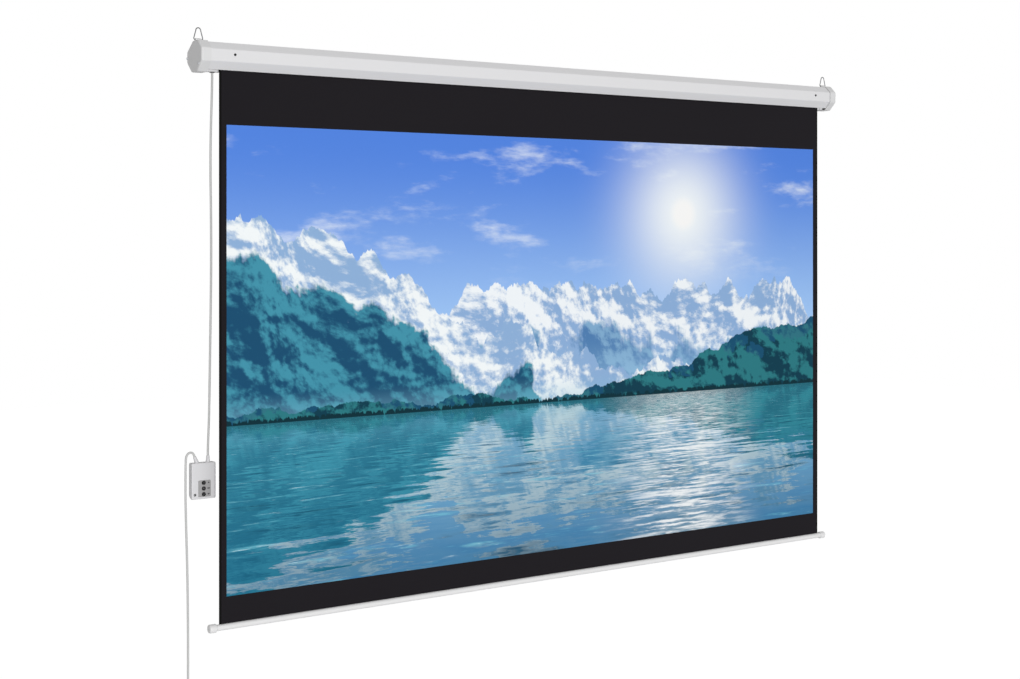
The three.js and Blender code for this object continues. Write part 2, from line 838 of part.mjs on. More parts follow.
// An outline in X and Z with its corners rounded, drawn out along Y between two depths.
function boxPrism(width, height, radius, start, end) {
  const outline = rounded(rectangle(width, height), radius, cornerSteps + 1);
  return loft(
    [start, end].map((y) => outline.map((p) => new THREE.Vector3(boxX + p.x, y, boxMiddleZ + p.y))),
  );
}

function boxSkinFront() {
  const rings = [{ y: -boxSplit, depth: 0 }];
  for (let k = 0; k <= rimSteps; k += 1) {
    const angle = (Math.PI / 2) * (k / rimSteps);
    rings.push({ y: boxFront + boxRim * (1 - Math.sin(angle)), depth: boxRim * (1 - Math.cos(angle)) });
  }
  return loft(
    rings.map(({ y, depth }) => {
      const frame = rectangle(boxWidth - 2 * depth, boxHeight - 2 * depth);
      const outline = rounded(frame, boxCorner - depth, cornerSteps + 1);
      return outline.map((p) => new THREE.Vector3(boxX + p.x, y, boxMiddleZ + p.y));
    }),
  );
}

const buttonPlaces = [1, 0, -1].map((row) => [buttonX, panelZ + row * buttonPitch]);
const boxScrewPlace = [
  boxX - boxWidth / 2 + boxScrewFromSide,
  boxTop - boxHeight + boxScrewFromBottom,
];

// The corner that is cut off the box along its lower back edge, raised by an amount.
function boxCutCorner(raise) {
  const bottom = boxTop - boxHeight;
  const shape = [
    [-boxBackCut.y, bottom + raise],
    [0, bottom + boxBackCut.z + raise],
    [overrun, bottom + boxBackCut.z + raise],
    [overrun, bottom - overrun],
    [-boxBackCut.y, bottom - overrun],
  ].map(([y, z]) => new THREE.Vector2(y, z));
  const reach = boxWidth / 2 + overrun;
  return solid(prismX(shape, boxX - reach, boxX + reach));
}

function boxHollow(start, end) {
  const slant = Math.hypot(boxBackCut.y, boxBackCut.z) / boxBackCut.y;
  const outline = boxPrism(boxWidth - 2 * boxWall, boxHeight - 2 * boxWall, boxCorner - boxWall, start, end);
  return solid(outline).subtract(boxCutCorner(boxWall * slant));
}

function boxFrontShell() {
  const recess = block(
    [panelX - panelWidth / 2 - seam, boxFront - overrun, panelZ - panelHeight / 2 - seam],
    [panelX + panelWidth / 2 + seam, panelFrontY + panelThickness + seam, panelZ + panelHeight / 2 + seam],
  );
  const holes = buttonPlaces.map(([x, z]) =>
    solid(rod(buttonRadius + fit, -overrun, boxWall + overrun, medium, [x, boxFront, z], axisY)),
  );
  const [screwX, screwZ] = boxScrewPlace;
  const postPlace = [screwX, boxFront, screwZ];
  const post = rod(boxPostRadius, boxWall / 2, boxDepth - boxPostSplit, medium, postPlace, axisY);
  const backPostRoom = rod(boxPostRadius + fit, boxDepth - boxPostSplit, boxDepth, medium, postPlace, axisY);
  const bore = rod(screwShankRadius + seam, -overrun, boxDepth, coarse, [screwX, boxFront, screwZ], axisY);
  const reliefHoles = [reliefInX, reliefOutX].map((x) => {
    const place = [boxX + x, reliefY, boxTop];
    return solid(rod(reliefNeck + seam, -boxWall - overrun, overrun, medium, place, axisZ));
  });
  const skin = solid(boxSkinFront()).subtract(boxHollow(boxFront + boxWall, -boxSplit + overrun));
  const whole = joined([skin, solid(post)]);
  return cut(whole, [solid(recess), boxCutCorner(0), solid(backPostRoom), ...holes, solid(bore), ...reliefHoles]);
}

function boxBackShell() {
  const front = -boxSplit + seam;
  const skin = solid(boxPrism(boxWidth, boxHeight, boxCorner, front, 0));
  const posts = [-1, 1].flatMap((side) =>
    [-1, 1].map((end) => {
      const x = boxX + side * (boardWidth / 2 - boardPostInset);
      const z = boardMiddleZ + end * (boardHeight / 2 - boardPostInset);
      return solid(rod(boardPostRadius, -boardFromBack + seam, -boxWall / 2, coarse, [x, 0, z], axisY));
    }),
  );
  const [screwX, screwZ] = boxScrewPlace;
  const postStart = -boxPostSplit + seam;
  const post = rod(boxPostRadius, postStart, -boxWall / 2, medium, [screwX, 0, screwZ], axisY);
  const bore = rod(screwShankRadius + seam, postStart - overrun, -boxWall, coarse, [screwX, 0, screwZ], axisY);
  const shell = skin.subtract(boxHollow(front - overrun, -boxWall));
  return cut(joined([shell, ...posts, solid(post)]), [boxCutCorner(0), solid(bore)]);
}

function buttonPanel() {
  const outline = rounded(rectangle(panelWidth, panelHeight), boxWall, cornerSteps);
  const plate = loft(
    [panelFrontY, panelFrontY + panelThickness].map((y) =>
      outline.map((p) => new THREE.Vector3(panelX + p.x, y, panelZ + p.y)),
    ),
  );
  const holes = buttonPlaces.map(([x, z]) =>
    solid(rod(buttonRadius + fit, -overrun, panelThickness + overrun, medium, [x, panelFrontY, z], axisY)),
  );
  return cut(solid(plate), holes);
}

function bezel([x, z]) {
  const front = panelFrontY - seam - bezelHeight;
  return sleeve(buttonRadius + fit, bezelRadius, front, panelFrontY - seam, medium, [x, 0, z], axisY);
}

function button([x, z]) {
  const face = panelFrontY - buttonProud;
  const profile = [
    [0, face + buttonProud / 4],
    [buttonRadius / 2, face],
    [buttonRadius - buttonProud / 4, face],
    [buttonRadius, face + buttonProud / 4],
    [buttonRadius, buttonRest],
    [buttonFlange, buttonRest],
    [buttonFlange, buttonRest + buttonFlangeHeight],
    [buttonStemRadius, buttonRest + buttonFlangeHeight],
    [buttonStemRadius, boardFront - seam - switchHeight - seam - buttonTravel],
    [0, boardFront - seam - switchHeight - seam - buttonTravel],
  ];
  return turned(profile, medium, [x, 0, z], axisY);
}

function pushSwitch([x, z]) {
  const half = switchSide / 2;
  const back = boardFront - seam;
  const middle = back - switchHeight / 2;
  const body = block([x - half, middle, z - half], [x + half, back, z + half]);
  const plunger = rod(buttonStemRadius, back - switchHeight, back - seam, coarse, [x, 0, z], axisY);
  return joined([solid(body), solid(plunger)]);
}

function circuitBoard() {
  const z = boardMiddleZ;
  const board = block(
    [boxX - boardWidth / 2, boardFront, z - boardHeight / 2],
    [boxX + boardWidth / 2, -boardFromBack, z + boardHeight / 2],
  );
  const [screwX, screwZ] = boxScrewPlace;
  const corner = block(
    [boxX - boardWidth / 2 - overrun, boardFront - overrun, z - boardHeight / 2 - overrun],
    [screwX + boxPostRadius + fit, overrun - boardFromBack, screwZ + boxPostRadius + fit],
  );
  return solid(board).subtract(solid(corner));
}

function terminalBlock() {
  const top = boardMiddleZ + boardHeight / 2 - boxWall;
  const back = boardFront - seam;
  const body = block(
    [boxX - terminalWidth / 2, back - terminalDepth, top - terminalHeight],
    [boxX + terminalWidth / 2, back, top],
  );
  const ways = 3;
  const bores = Array.from({ length: ways }, (_, i) => {
    const x = boxX + ((i + 0.5) / ways - 0.5) * terminalWidth;
    const place = [x, back - terminalDepth, top - terminalHeight / 2];
    return solid(rod(screwShankRadius, -overrun, terminalDepth / 2, coarse, place, axisY));
  });
  return cut(solid(body), bores);
}

// A strain relief: a neck and flange through the box's top wall, and a taper that may lean.
function strainRelief(x, lean) {
  const place = [boxX + x, reliefY, boxTop];
  const flangeTop = -boxWall - seam;
  const neck = [
    [0, flangeTop - reliefFlangeHeight],
    [reliefFlange, flangeTop - reliefFlangeHeight],
    [reliefFlange, flangeTop],
    [reliefNeck, flangeTop],
    [reliefNeck, seam + overrun],
    [0, seam + overrun],
  ];
  const aim = new THREE.Vector3(-Math.sin(lean), 0, Math.cos(lean));
  const taper = turned(
    [[0, -overrun], [reliefBase, -overrun], [reliefBase, overrun], [reliefTip, reliefLength], [0, reliefLength]],
    medium,
    place,
    aim,
  );
  const reach = reliefBase + reliefLength;
  const below = block(
    [place[0] - reach, reliefY - reach, boxTop - reach],
    [place[0] + reach, reliefY + reach, boxTop + seam],
  );
  return joined([solid(taper).subtract(solid(below)), solid(turned(neck, medium, place, axisZ))]);
}

function leadGrommet() {
  const low = casingBottom - seam - grommetFlangeHeight;
  const top = casingBottom + casingWall + seam;
  const bore = cordRadius + seam;
  const profile = [
    [bore, low],
    [grommetFlange, low],
    [grommetFlange, low + grommetFlangeHeight],
    [grommetNeck, low + grommetFlangeHeight],
    [grommetNeck, top],
    [grommetNeck + seam * 2, top + grommetFlangeHeight / 2],
    [grommetNeck, top + grommetFlangeHeight],
    [bore, top + grommetFlangeHeight],
    [bore, low],
  ];
  return turned(profile, medium, [leadX, rollerY, 0], axisZ);
}

// Cables

// A cable along a smooth curve through the points of its route.
function cable(route, steps) {
  const path = new THREE.CatmullRomCurve3(route.map((point) => new THREE.Vector3(...point)));
  const sides = cableSides;
  const section = new THREE.Shape(
    Array.from({ length: sides }, (_, k) => {
      const angle = (2 * Math.PI * k) / sides;
      return new THREE.Vector2(cordRadius * Math.cos(angle), cordRadius * Math.sin(angle));
    }),
  );
  return new THREE.ExtrudeGeometry(section, { steps, bevelEnabled: false, extrudePath: path });
}

const lastOf = (route) => route[route.length - 1];
const hankOuter = hankFold + (hankPitch * hankLoops) / 2;
const hankReach = hankRun / 2 + hankOuter;
const hankTop = lastOf(cableLowerRoute)[2] - seam;
const hankPlace = [
  lastOf(cableLowerRoute)[0] + hankOuter,
  lastOf(cableLowerRoute)[1],
  hankTop - hankLead - hankReach,
];
const hankStepsPerLoop = 24;

function smooth(value) {
  const t = Math.min(Math.max(value, 0), 1);
  return t * t * (3 - 2 * t);
}

// A point of the hank at a number of loops from its first run, in the hank's own X and Z, with no waist yet.
function loopPoint(turns) {
  const radius = hankFold + hankPitch * Math.abs(turns - hankLoops / 2);
  const runShare = 0.125;
  const foldShare = 0.5 - runShare;
  const part = turns - Math.floor(turns);
  const along = ((part + runShare / 2) % 0.5) - runShare / 2;
  const side = part + runShare / 2 < 0.5 || part + runShare / 2 >= 1 ? -1 : 1;
  if (along <= runShare / 2) {
    return { x: side * radius, z: ((side * along) / (runShare / 2)) * (hankRun / 2) };
  }
  const angle = (Math.PI * (along - runShare / 2)) / foldShare;
  return { x: side * radius * Math.cos(angle), z: side * (hankRun / 2 + radius * Math.sin(angle)) };
}

function drawnIn({ x, z }, layer) {
  const waist = hankWaist * Math.exp(-((z / hankWaistSpread) ** 2));
  const drawn = Math.sign(x) * Math.max(Math.abs(x) - waist, 0);
  return new THREE.Vector3(hankPlace[0] + drawn, hankPlace[1] - layer * hankLayer, hankPlace[2] + z);
}

// The hank's one unbroken path: in at the top, round its loops in two layers, and out at the bottom.
function hankPoints() {
  const reach = hankReach + hankLead;
  const entrySteps = 6;
  const points = [];
  for (let k = 0; k < entrySteps; k += 1) {
    points.push(drawnIn({ x: -hankOuter, z: reach * (1 - k / entrySteps) }, 0));
  }
  for (let k = 0; k <= hankLoops * hankStepsPerLoop; k += 1) {
    const turns = k / hankStepsPerLoop;
    const layer = smooth(0.5 + (turns - hankLoops / 2) / hankCrossing);
    points.push(drawnIn(loopPoint(turns), layer));
  }
  for (let k = 1; k <= entrySteps; k += 1) {
    points.push(drawnIn({ x: -hankOuter, z: (-reach * k) / entrySteps }, 1));
  }
  return points;
}

function pathLength(points) {
  return points.slice(1).reduce((sum, point, i) => sum + point.distanceTo(points[i]), 0);
}

// The least gap between stretches of the path that are further apart along it than a few diameters.
function leastGap(points) {
  const fineSteps = 6;
  const dense = [];
  points.slice(1).forEach((point, i) => {
    for (let k = 0; k < fineSteps; k += 1) {
      dense.push(points[i].clone().lerp(point, k / fineSteps));
    }
  });
  const along = [0];
  dense.slice(1).forEach((point, i) => along.push(along[i] + point.distanceTo(dense[i])));
  let least = Infinity;
  for (let i = 0; i < dense.length; i += 1) {
    for (let k = i + 1; k < dense.length; k += 1) {
      if (along[k] - along[i] < hankFold * 2) continue;
      least = Math.min(least, dense[i].distanceTo(dense[k]));
    }
  }
  return least - 2 * cordRadius;
}

const hankRoute = hankPoints();
console.log("least gap in the hank: " + leastGap(hankRoute).toFixed(2) + " mm");
const tailStart = hankRoute[hankRoute.length - 1].clone().add(new THREE.Vector3(0, 0, -seam));
const tailEndZ = tailStart.z - tailLength;
const plugTop = tailEndZ - seam;
const cordLength = (route) => {
  const path = new THREE.CatmullRomCurve3(route.map((point) => new THREE.Vector3(...point)));
  return path.getLength();
};
const leadLength = cordLength(cableLowerRoute) + pathLength(hankRoute) + tailLength;
console.log("cable from the casing to the box: " + cordLength(cableUpperRoute).toFixed(0) + " mm");
console.log("mains lead: " + leadLength.toFixed(0) + " mm");

// A strap round the hank's waist, with the tab where its end lies on itself.
function cableTie() {
  const outerStrand = hankOuter - hankWaist + cordRadius + tieGap;
  const innerStrand = outerStrand - hankPitch / 2;
  const [x, y, z] = hankPlace;
  const width = outerStrand + innerStrand;
  const depth = hankLayer + 2 * (cordRadius + tieGap);
  const centre = new THREE.Vector2(x + (innerStrand - outerStrand) / 2, y - hankLayer / 2);
  const ringOf = (grow, height, radius) =>
    rounded(rectangle(width + 2 * grow, depth + 2 * grow), radius, cornerSteps + 1).map(
      (p) => new THREE.Vector3(centre.x + p.x, centre.y + p.y, z + height),
    );
  const radius = cordRadius + tieGap;
  const half = tieWidth / 2;
  const outer = loft([-half, half].map((height) => ringOf(tieThickness, height, radius + tieThickness)));
  const inner = loft([ringOf(0, -half - overrun, radius), ringOf(0, half + overrun, radius)]);
  const front = centre.y - depth / 2 - tieThickness;
  const tab = block(
    [centre.x - tieWidth, front - tieThickness, z - half],
    [centre.x + tieWidth, front + tieThickness / 2, z + half],
  );
  return joined([solid(outer).subtract(solid(inner)), solid(tab)]);
}

function plugBody() {
  const top = plugTop;
  const neck = 2 * (cordRadius + seam);
  const levels = [
    [neck, neck, 0],
    [neck + plugReliefGrow, neck + plugReliefGrow, -plugReliefLength],
    [plugGrip.x, plugGrip.y, -plugReliefLength - plugCorner / 2],
    [plugGrip.x, plugGrip.y, -plugReliefLength - plugGripLength + plugCorner],
    [plugFace.x, plugFace.y, -plugReliefLength - plugGripLength],
    [plugFace.x, plugFace.y, -plugReliefLength - plugGripLength - plugFaceLength],
  ];
  return loft(
    levels.map(([width, depth, drop]) => {
      const radius = Math.min(plugCorner, Math.min(width, depth) / 2 - seam / 2);
      const outline = rounded(rectangle(width, depth), radius, cornerSteps);
      return outline.map((p) => new THREE.Vector3(tailStart.x + p.x, tailStart.y + p.y, top + drop));
    }),
  );
}

const plugBottom = plugTop - plugReliefLength - plugGripLength - plugFaceLength;

function plugBlade(side) {
  const x = tailStart.x + (side * bladeSpacing) / 2;
  const y = tailStart.y + bladeBack;
  return block(
    [x - bladeThickness / 2, y - bladeWidth / 2, plugBottom - seam - bladeLength],
    [x + bladeThickness / 2, y + bladeWidth / 2, plugBottom - seam],
  );
}

function plugEarthPin() {
  const place = [tailStart.x, tailStart.y - earthPinFront, plugBottom - seam];
  return turned(
    [
      [0, 0],
      [earthPinRadius, 0],
      [earthPinRadius, -earthPinLength + earthPinRadius],
      [earthPinRadius / 2, -earthPinLength],
      [0, -earthPinLength],
    ],
    coarse,
    place,
    axisZ,
  );
}

// Finishes

const finishes = {
  casingPaint: { color: 0xdddcdf, roughness: 0.45, metalness: 0.0 },
  capPlastic: { color: 0xd6d6d6, roughness: 0.5, metalness: 0.0 },
  blackFabric: { color: 0x232025, roughness: 0.9, metalness: 0.0 },
  barPaint: { color: 0xe9e6e6, roughness: 0.4, metalness: 0.0 },
  steel: { color: 0x9a9b9c, roughness: 0.35, metalness: 1.0 },
  darkScrew: { color: 0x2c2c2e, roughness: 0.45, metalness: 0.9 },
  aluminium: { color: 0xb9babb, roughness: 0.4, metalness: 1.0 },
  zincPlate: { color: 0xa8a9ab, roughness: 0.45, metalness: 1.0 },
  motorCase: { color: 0x8d8f92, roughness: 0.4, metalness: 0.9 },
  blackPlastic: { color: 0x17171a, roughness: 0.5, metalness: 0.0 },
  nylon: { color: 0xe9e7de, roughness: 0.5, metalness: 0.0 },
  boxPlastic: { color: 0xe0dfe2, roughness: 0.45, metalness: 0.0 },
  panelGrey: { color: 0xa9a8a7, roughness: 0.5, metalness: 0.0 },
  board: { color: 0x2f6b3f, roughness: 0.5, metalness: 0.0 },
  terminal: { color: 0x2f5f8f, roughness: 0.5, metalness: 0.0 },
  redScrew: { color: 0xc0392b, roughness: 0.5, metalness: 0.0 },
  whiteScrew: { color: 0xf0f0ee, roughness: 0.5, metalness: 0.0 },
  cableJacket: { color: 0xcfcecb, roughness: 0.5, metalness: 0.0 },
  strap: { color: 0x2a2a2c, roughness: 0.8, metalness: 0.0 },
  brass: { color: 0xc9a75a, roughness: 0.3, metalness: 1.0 },
};

// Assembly

const screen = new THREE.Group();

function add(name, body, finish) {
  const geometry = body instanceof THREE.BufferGeometry ? cleaned(body) : geometryOf(body);
  geometry.computeVertexNormals();
  const mesh = new THREE.Mesh(geometry, new THREE.MeshStandardMaterial(finishes[finish]));
  mesh.name = name;
  screen.add(mesh);
}

const sides = { left: -1, right: 1 };
const facePlace = (side, port) => [(side * overallLength) / 2, port.x, port.y];

add("casing_shell", casingShell(), "casingPaint");
Object.entries(sides).forEach(([word, side]) => {
  const outwards = axisX.clone().multiplyScalar(side);
  add("end_cap_" + word, endCap(side), "capPlastic");
  add("cap_screw_" + word + "_front", screw(facePlace(side, ports[0]), outwards, capScrewLength), "zincPlate");
  add("cap_screw_" + word + "_back", screw(facePlace(side, ports[1]), outwards, capScrewLength), "zincPlate");
  const frontPlace = [side * frontScrewX, casingFront, frontScrewZ];
  add("front_screw_" + word, screw(frontPlace, axisY.clone().negate(), frontScrewLength), "darkScrew");
  add("bail_" + word, tubeThrough(bailPath(side), bailWire, wireSides), "steel");
  add("bar_cap_" + word, barCap(side), "barPaint");
});
add("motor_bracket", motorBracket(), "zincPlate");
add("idler_bracket", idlerBracket(), "zincPlate");

add("motor_head", motorHead(), "blackPlastic");
add("motor_tube", rod(motorRadius, -rollerHalf, motorEnd, fine, rollerAxis, axisX), "motorCase");
add("limit_screw_up", limitScrew(-1), "whiteScrew");
add("limit_screw_down", limitScrew(1), "redScrew");
const crownStart = -rollerHalf + seam;
add("crown_ring", wheel(motorRadius + runningGap, crownStart, crownStart + crownLength, fine), "nylon");
add("output_shaft", rod(shaftRadius, wheelStart, wheelStart + shaftLength, hexagon, rollerAxis, axisX), "steel");
add("drive_wheel", driveWheel(), "nylon");
add("roller_tube", rollerTube(), "aluminium");
const splineZ = rollerRadius - grooveDepth;
const splineReach = fabricWidth / 2;
const splinePlace = [0, rollerY, splineZ];
add("fabric_spline", rod(splineRadius, -splineReach, splineReach, coarse, splinePlace, axisX), "nylon");
const wrapInner = rollerRadius + seam;
add(
  "fabric_wrap",
  sleeve(wrapInner, wrapRadius, -fabricWidth / 2, fabricWidth / 2, fine, rollerAxis, axisX),
  "blackFabric",
);
add("idler_plug", idlerPlug(), "nylon");
add("idler_pin", idlerPin(), "steel");
const bushStart = rollerHalf - plugLength;
const bushInner = idlerPinRadius + seam;
add("idler_bush", sleeve(bushInner, bushRadius, bushStart, rollerHalf, medium, rollerAxis, axisX), "brass");

add("screen_fabric", fabricSheet(), "blackFabric");
add("bar_tube", barTube(), "barPaint");
add("hem_rod", rod(hemRodRadius, -barTubeHalf, barTubeHalf, coarse, [0, fabricY, barZ], axisX), "nylon");
add("fabric_hem", fabricHem(), "blackFabric");

add("box_front_shell", boxFrontShell(), "boxPlastic");
add("box_back_shell", boxBackShell(), "boxPlastic");
add("button_panel", buttonPanel(), "panelGrey");
["up", "stop", "down"].forEach((word, i) => {
  add("bezel_" + word, bezel(buttonPlaces[i]), "blackPlastic");
  add("button_" + word, button(buttonPlaces[i]), "blackPlastic");
  add("switch_" + word, pushSwitch(buttonPlaces[i]), "blackPlastic");
});
add("circuit_board", circuitBoard(), "board");
add("terminal_block", terminalBlock(), "terminal");
const boxScrewAt = [boxScrewPlace[0], boxFront, boxScrewPlace[1]];
add("box_screw", screw(boxScrewAt, axisY.clone().negate(), boxScrewLength), "darkScrew");
add("strain_relief_in", strainRelief(reliefInX, 0), "boxPlastic");
add("strain_relief_out", strainRelief(reliefOutX, reliefOutLean), "boxPlastic");
add("lead_grommet", leadGrommet(), "blackPlastic");

const leadTop = -headRadius - seam;
const leadLow = casingBottom - seam - grommetFlangeHeight;
add("motor_lead", rod(cordRadius, leadLow, leadTop, coarse, [leadX, rollerY, 0], axisZ), "cableJacket");
add("cable_upper", cable(cableUpperRoute, cableUpperSteps), "cableJacket");
add("cable_lower", cable(cableLowerRoute, cableLowerSteps), "cableJacket");
add("cable_hank", tubeThrough(hankRoute, cordRadius, hankSides), "cableJacket");
add("cable_tie", cableTie(), "strap");
const tailPlace = [tailStart.x, tailStart.y, 0];
add("cable_tail", rod(cordRadius, tailEndZ, tailStart.z, coarse, tailPlace, axisZ), "cableJacket");
add("plug_body", plugBody(), "cableJacket");
add("plug_blade_left", plugBlade(-1), "brass");
add("plug_blade_right", plugBlade(1), "brass");
add("plug_earth_pin", plugEarthPin(), "brass");

export default screen;
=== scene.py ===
import math

import bmesh
import bpy
from mathutils import Matrix, Vector


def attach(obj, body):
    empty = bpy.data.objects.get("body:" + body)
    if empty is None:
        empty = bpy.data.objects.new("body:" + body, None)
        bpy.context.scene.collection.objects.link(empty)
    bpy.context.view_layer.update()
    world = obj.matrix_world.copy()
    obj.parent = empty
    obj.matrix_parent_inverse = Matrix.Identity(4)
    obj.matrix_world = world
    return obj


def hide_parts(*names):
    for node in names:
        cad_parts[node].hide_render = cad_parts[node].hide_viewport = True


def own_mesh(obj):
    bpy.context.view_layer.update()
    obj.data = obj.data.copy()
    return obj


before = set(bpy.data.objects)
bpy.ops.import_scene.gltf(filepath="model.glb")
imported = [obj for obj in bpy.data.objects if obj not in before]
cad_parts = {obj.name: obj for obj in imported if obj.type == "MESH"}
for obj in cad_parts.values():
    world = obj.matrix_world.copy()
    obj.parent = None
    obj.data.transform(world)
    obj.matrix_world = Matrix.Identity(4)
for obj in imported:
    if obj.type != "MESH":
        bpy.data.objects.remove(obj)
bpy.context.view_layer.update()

VERT, EDGE, FACE = bmesh.types.BMVert, bmesh.types.BMEdge, bmesh.types.BMFace
AXIS_X = Vector((1, 0, 0))
AXIS_Z = Vector((0, 0, 1))
FORWARD = Vector((0, -1, 0))
SIDES = {"left": -1, "right": 1}
CORNER_SIGNS = ((-1, -1), (1, -1), (1, 1), (-1, 1))

# Sizes that the CAD model uses
SEAM = 0.0003
HALF_LENGTH = 1.192
CASING_HALF = 1.164
CAP_WALL = 0.0025
CAP_HOLLOW = 0.0225
CAP_PROUD = 0.003
CASING_WALL = 0.0015
SLOT_FRONT = -0.066
SLOT_BACK = -0.053
LIP_TOP = -0.0285
CASING_FRONT = -0.087
CASING_BOTTOM = -0.0385
FRONT_SCREW_X = 1.0945
FRONT_SCREW_Z = 0.006
ROLLER_Y = -0.03745
CLOTH_HALF = 1.129
CLOTH_Y = -0.062
CLOTH_DROP = 1.493
CLOTH_THICKNESS = 0.0005
SELVEDGE = 0.007
PICTURE_HALF = 1.107
PICTURE_TOP = -0.1775
PICTURE_HEIGHT = 1.245
HEM_TOP = -1.4933
HEM_RADIUS = 0.00305
BAR_Z = -1.5017
BAR_RADIUS = 0.0084
BAR_WALL = 0.0012
BAR_GAP = 0.0024
BAR_HALF = 1.1552
BAR_CAP_START = 1.1375
BAIL_Y = -0.04
BAIL_Z = 0.0445
BAIL_X = 1.178
BAIL_WIRE = 0.0014
BOX_X = -1.151
BOX_WIDTH = 0.069
BOX_HEIGHT = 0.096
BOX_TOP = -1.0705
BOX_Z = BOX_TOP - BOX_HEIGHT / 2
BOX_FRONT = -0.018
BOX_WALL = 0.0014
BOX_CUT_DEPTH = 0.012
BOX_CUT_HEIGHT = 0.009
PANEL_X = -1.1492
PANEL_Z = -1.13875
PANEL_WIDTH = 0.0355
PANEL_HEIGHT = 0.0435
PANEL_FRONT = -0.0183
BUTTON_X = -1.1517
BUTTON_PITCH = 0.0151
MARK_X = BUTTON_X + 0.0142
CORD_RADIUS = 0.003
LEAD_Y = -0.008
EXIT_X = -1.1368


# Camera

def placed(name, data):
    made = bpy.data.objects.new(name, data)
    bpy.context.scene.collection.objects.link(made)
    return made


def add_camera():
    lens = bpy.data.cameras.new("photo_camera")
    lens.sensor_width = 36.0
    lens.lens = 58.72
    lens.shift_y = -0.1047
    camera = placed("photo_camera", lens)
    camera.location = (-3.10035, -4.04521, -0.46236)
    camera.rotation_euler = (math.radians(90), 0, math.radians(-36.2531))
    bpy.context.scene.camera = camera


add_camera()


# Node helpers

def worked_out(operation, turned_round=False):
    """How a value and another one are worked out together by a node, or the other one first."""

    def with_other(value, other):
        return value.net.math(operation, *((other, value) if turned_round else (value, other)))

    return with_other


class Value:
    """What a node gives. Sums with it are written as usual, and each becomes a node."""

    def __init__(self, net, socket):
        self.net, self.socket = net, socket

    __add__ = __radd__ = worked_out("ADD")
    __sub__, __rsub__ = worked_out("SUBTRACT"), worked_out("SUBTRACT", True)
    __mul__ = __rmul__ = worked_out("MULTIPLY")
    __truediv__, __rtruediv__ = worked_out("DIVIDE"), worked_out("DIVIDE", True)
    __pow__ = worked_out("POWER")


class Net:
    """Adds nodes to one tree. A value or a socket gets linked, and a plain number or colour is set."""

    def __init__(self, tree):
        self.tree = tree

    def put(self, socket, value):
        given = value.socket if isinstance(value, Value) else value
        if isinstance(given, bpy.types.NodeSocket):
            self.tree.links.new(given, socket)
        else:
            socket.default_value = given

    def fill(self, made, values):
        for key, value in values.items():
            self.put(made.inputs[key], value)
        return made

    def node(self, kind, values=None, **settings):
        made = self.tree.nodes.new(kind)
        for key, value in settings.items():
            setattr(made, key, value)
        return self.fill(made, values or {})

    def value(self, kind, values, output=0, **settings):
        return Value(self, self.node(kind, values, **settings).outputs[output])

    def math(self, operation, *values, clamp=False):
        return self.value("ShaderNodeMath", dict(enumerate(values)), operation=operation, use_clamp=clamp)

    def most(self, first, second):
        return self.math("MAXIMUM", first, second)

    def span(self, value, middle=0.0):
        """How far a value is from a middle, to either side."""
        return self.math("ABSOLUTE", value - middle if middle else value)

    def step(self, value, low, high):
        values = {"Value": value, "From Min": low, "From Max": high}
        return self.value("ShaderNodeMapRange", values, interpolation_type="SMOOTHSTEP")

    def fall(self, value, low, high):
        return 1.0 - self.step(value, low, high)

    def mix(self, factor, first, second, blend="MIX"):
        values = {0: factor, 6: first, 7: second}
        return self.value("ShaderNodeMix", values, 2, data_type="RGBA", blend_type=blend)

    def vector(self, x, y, z=0.0):
        return self.value("ShaderNodeCombineXYZ", {0: x, 1: y, 2: z})

    def parts(self, vector):
        return [Value(self, part) for part in self.node("ShaderNodeSeparateXYZ", {0: vector}).outputs]

    def scaled(self, vector, factors):
        return self.value("ShaderNodeVectorMath", {0: vector, 1: factors}, operation="MULTIPLY")

    def noise(self, vector, scale, detail, roughness):
        values = {"Vector": vector, "Scale": scale, "Detail": detail, "Roughness": roughness}
        return self.value("ShaderNodeTexNoise", values, noise_type="FBM")

    def group(self, tree, **values):
        return self.node("ShaderNodeGroup", values, node_tree=tree).outputs


def new_group(name, inputs, outputs):
    tree = bpy.data.node_groups.new(name, "ShaderNodeTree")
    kinds = {"colour": "NodeSocketColor", "value": "NodeSocketFloat", "vector": "NodeSocketVector"}
    for label, kind, value in inputs:
        socket = tree.interface.new_socket(label, in_out="INPUT", socket_type=kinds[kind])
        if value is not None:
            socket.default_value = value
    for label, kind in outputs:
        tree.interface.new_socket(label, in_out="OUTPUT", socket_type=kinds[kind])
    net = Net(tree)
    return net, net.node("NodeGroupInput").outputs, net.node("NodeGroupOutput").inputs


EFFECT_INPUTS = [
    ("Place", "vector", None),
    ("Colour", "colour", (0.8, 0.8, 0.8, 1)),
    ("Roughness", "value", 0.5),
    ("Scale", "value", 900.0),
    ("Variation", "value", 0.04),
]
EFFECT_OUTPUTS = [("Colour", "colour"), ("Roughness", "value"), ("Height", "value")]


def effect_group(name, pattern):
    """A shared effect. Its pattern gives a fine and a slow noise, how they mix, and what roughness gains."""
    net, start, end = new_group(name, EFFECT_INPUTS, EFFECT_OUTPUTS)
    fine, slow, fine_share, middle, rougher = pattern(net, start["Place"], start["Scale"])
    both = fine * fine_share + slow * (1 - fine_share)
    tone = 1.0 + (both - middle) * start["Variation"]
    net.put(end["Colour"], net.mix(1.0, start["Colour"], net.vector(tone, tone, tone), "MULTIPLY"))
    net.put(end["Roughness"], net.math("ADD", start["Roughness"], rougher, clamp=True))
    net.put(end["Height"], fine)
    return net.tree


def grain(net, place, scale):
    """Fine even grain, as on powder coat and moulded plastic, with slow changes of tone from handling."""
    fine = net.noise(place, scale, 3.0, 0.6)
    slow = net.noise(place, 7.0, 3.0, 0.5)
    return fine, slow, 0.6, 0.5, (slow - 0.5) * 0.16


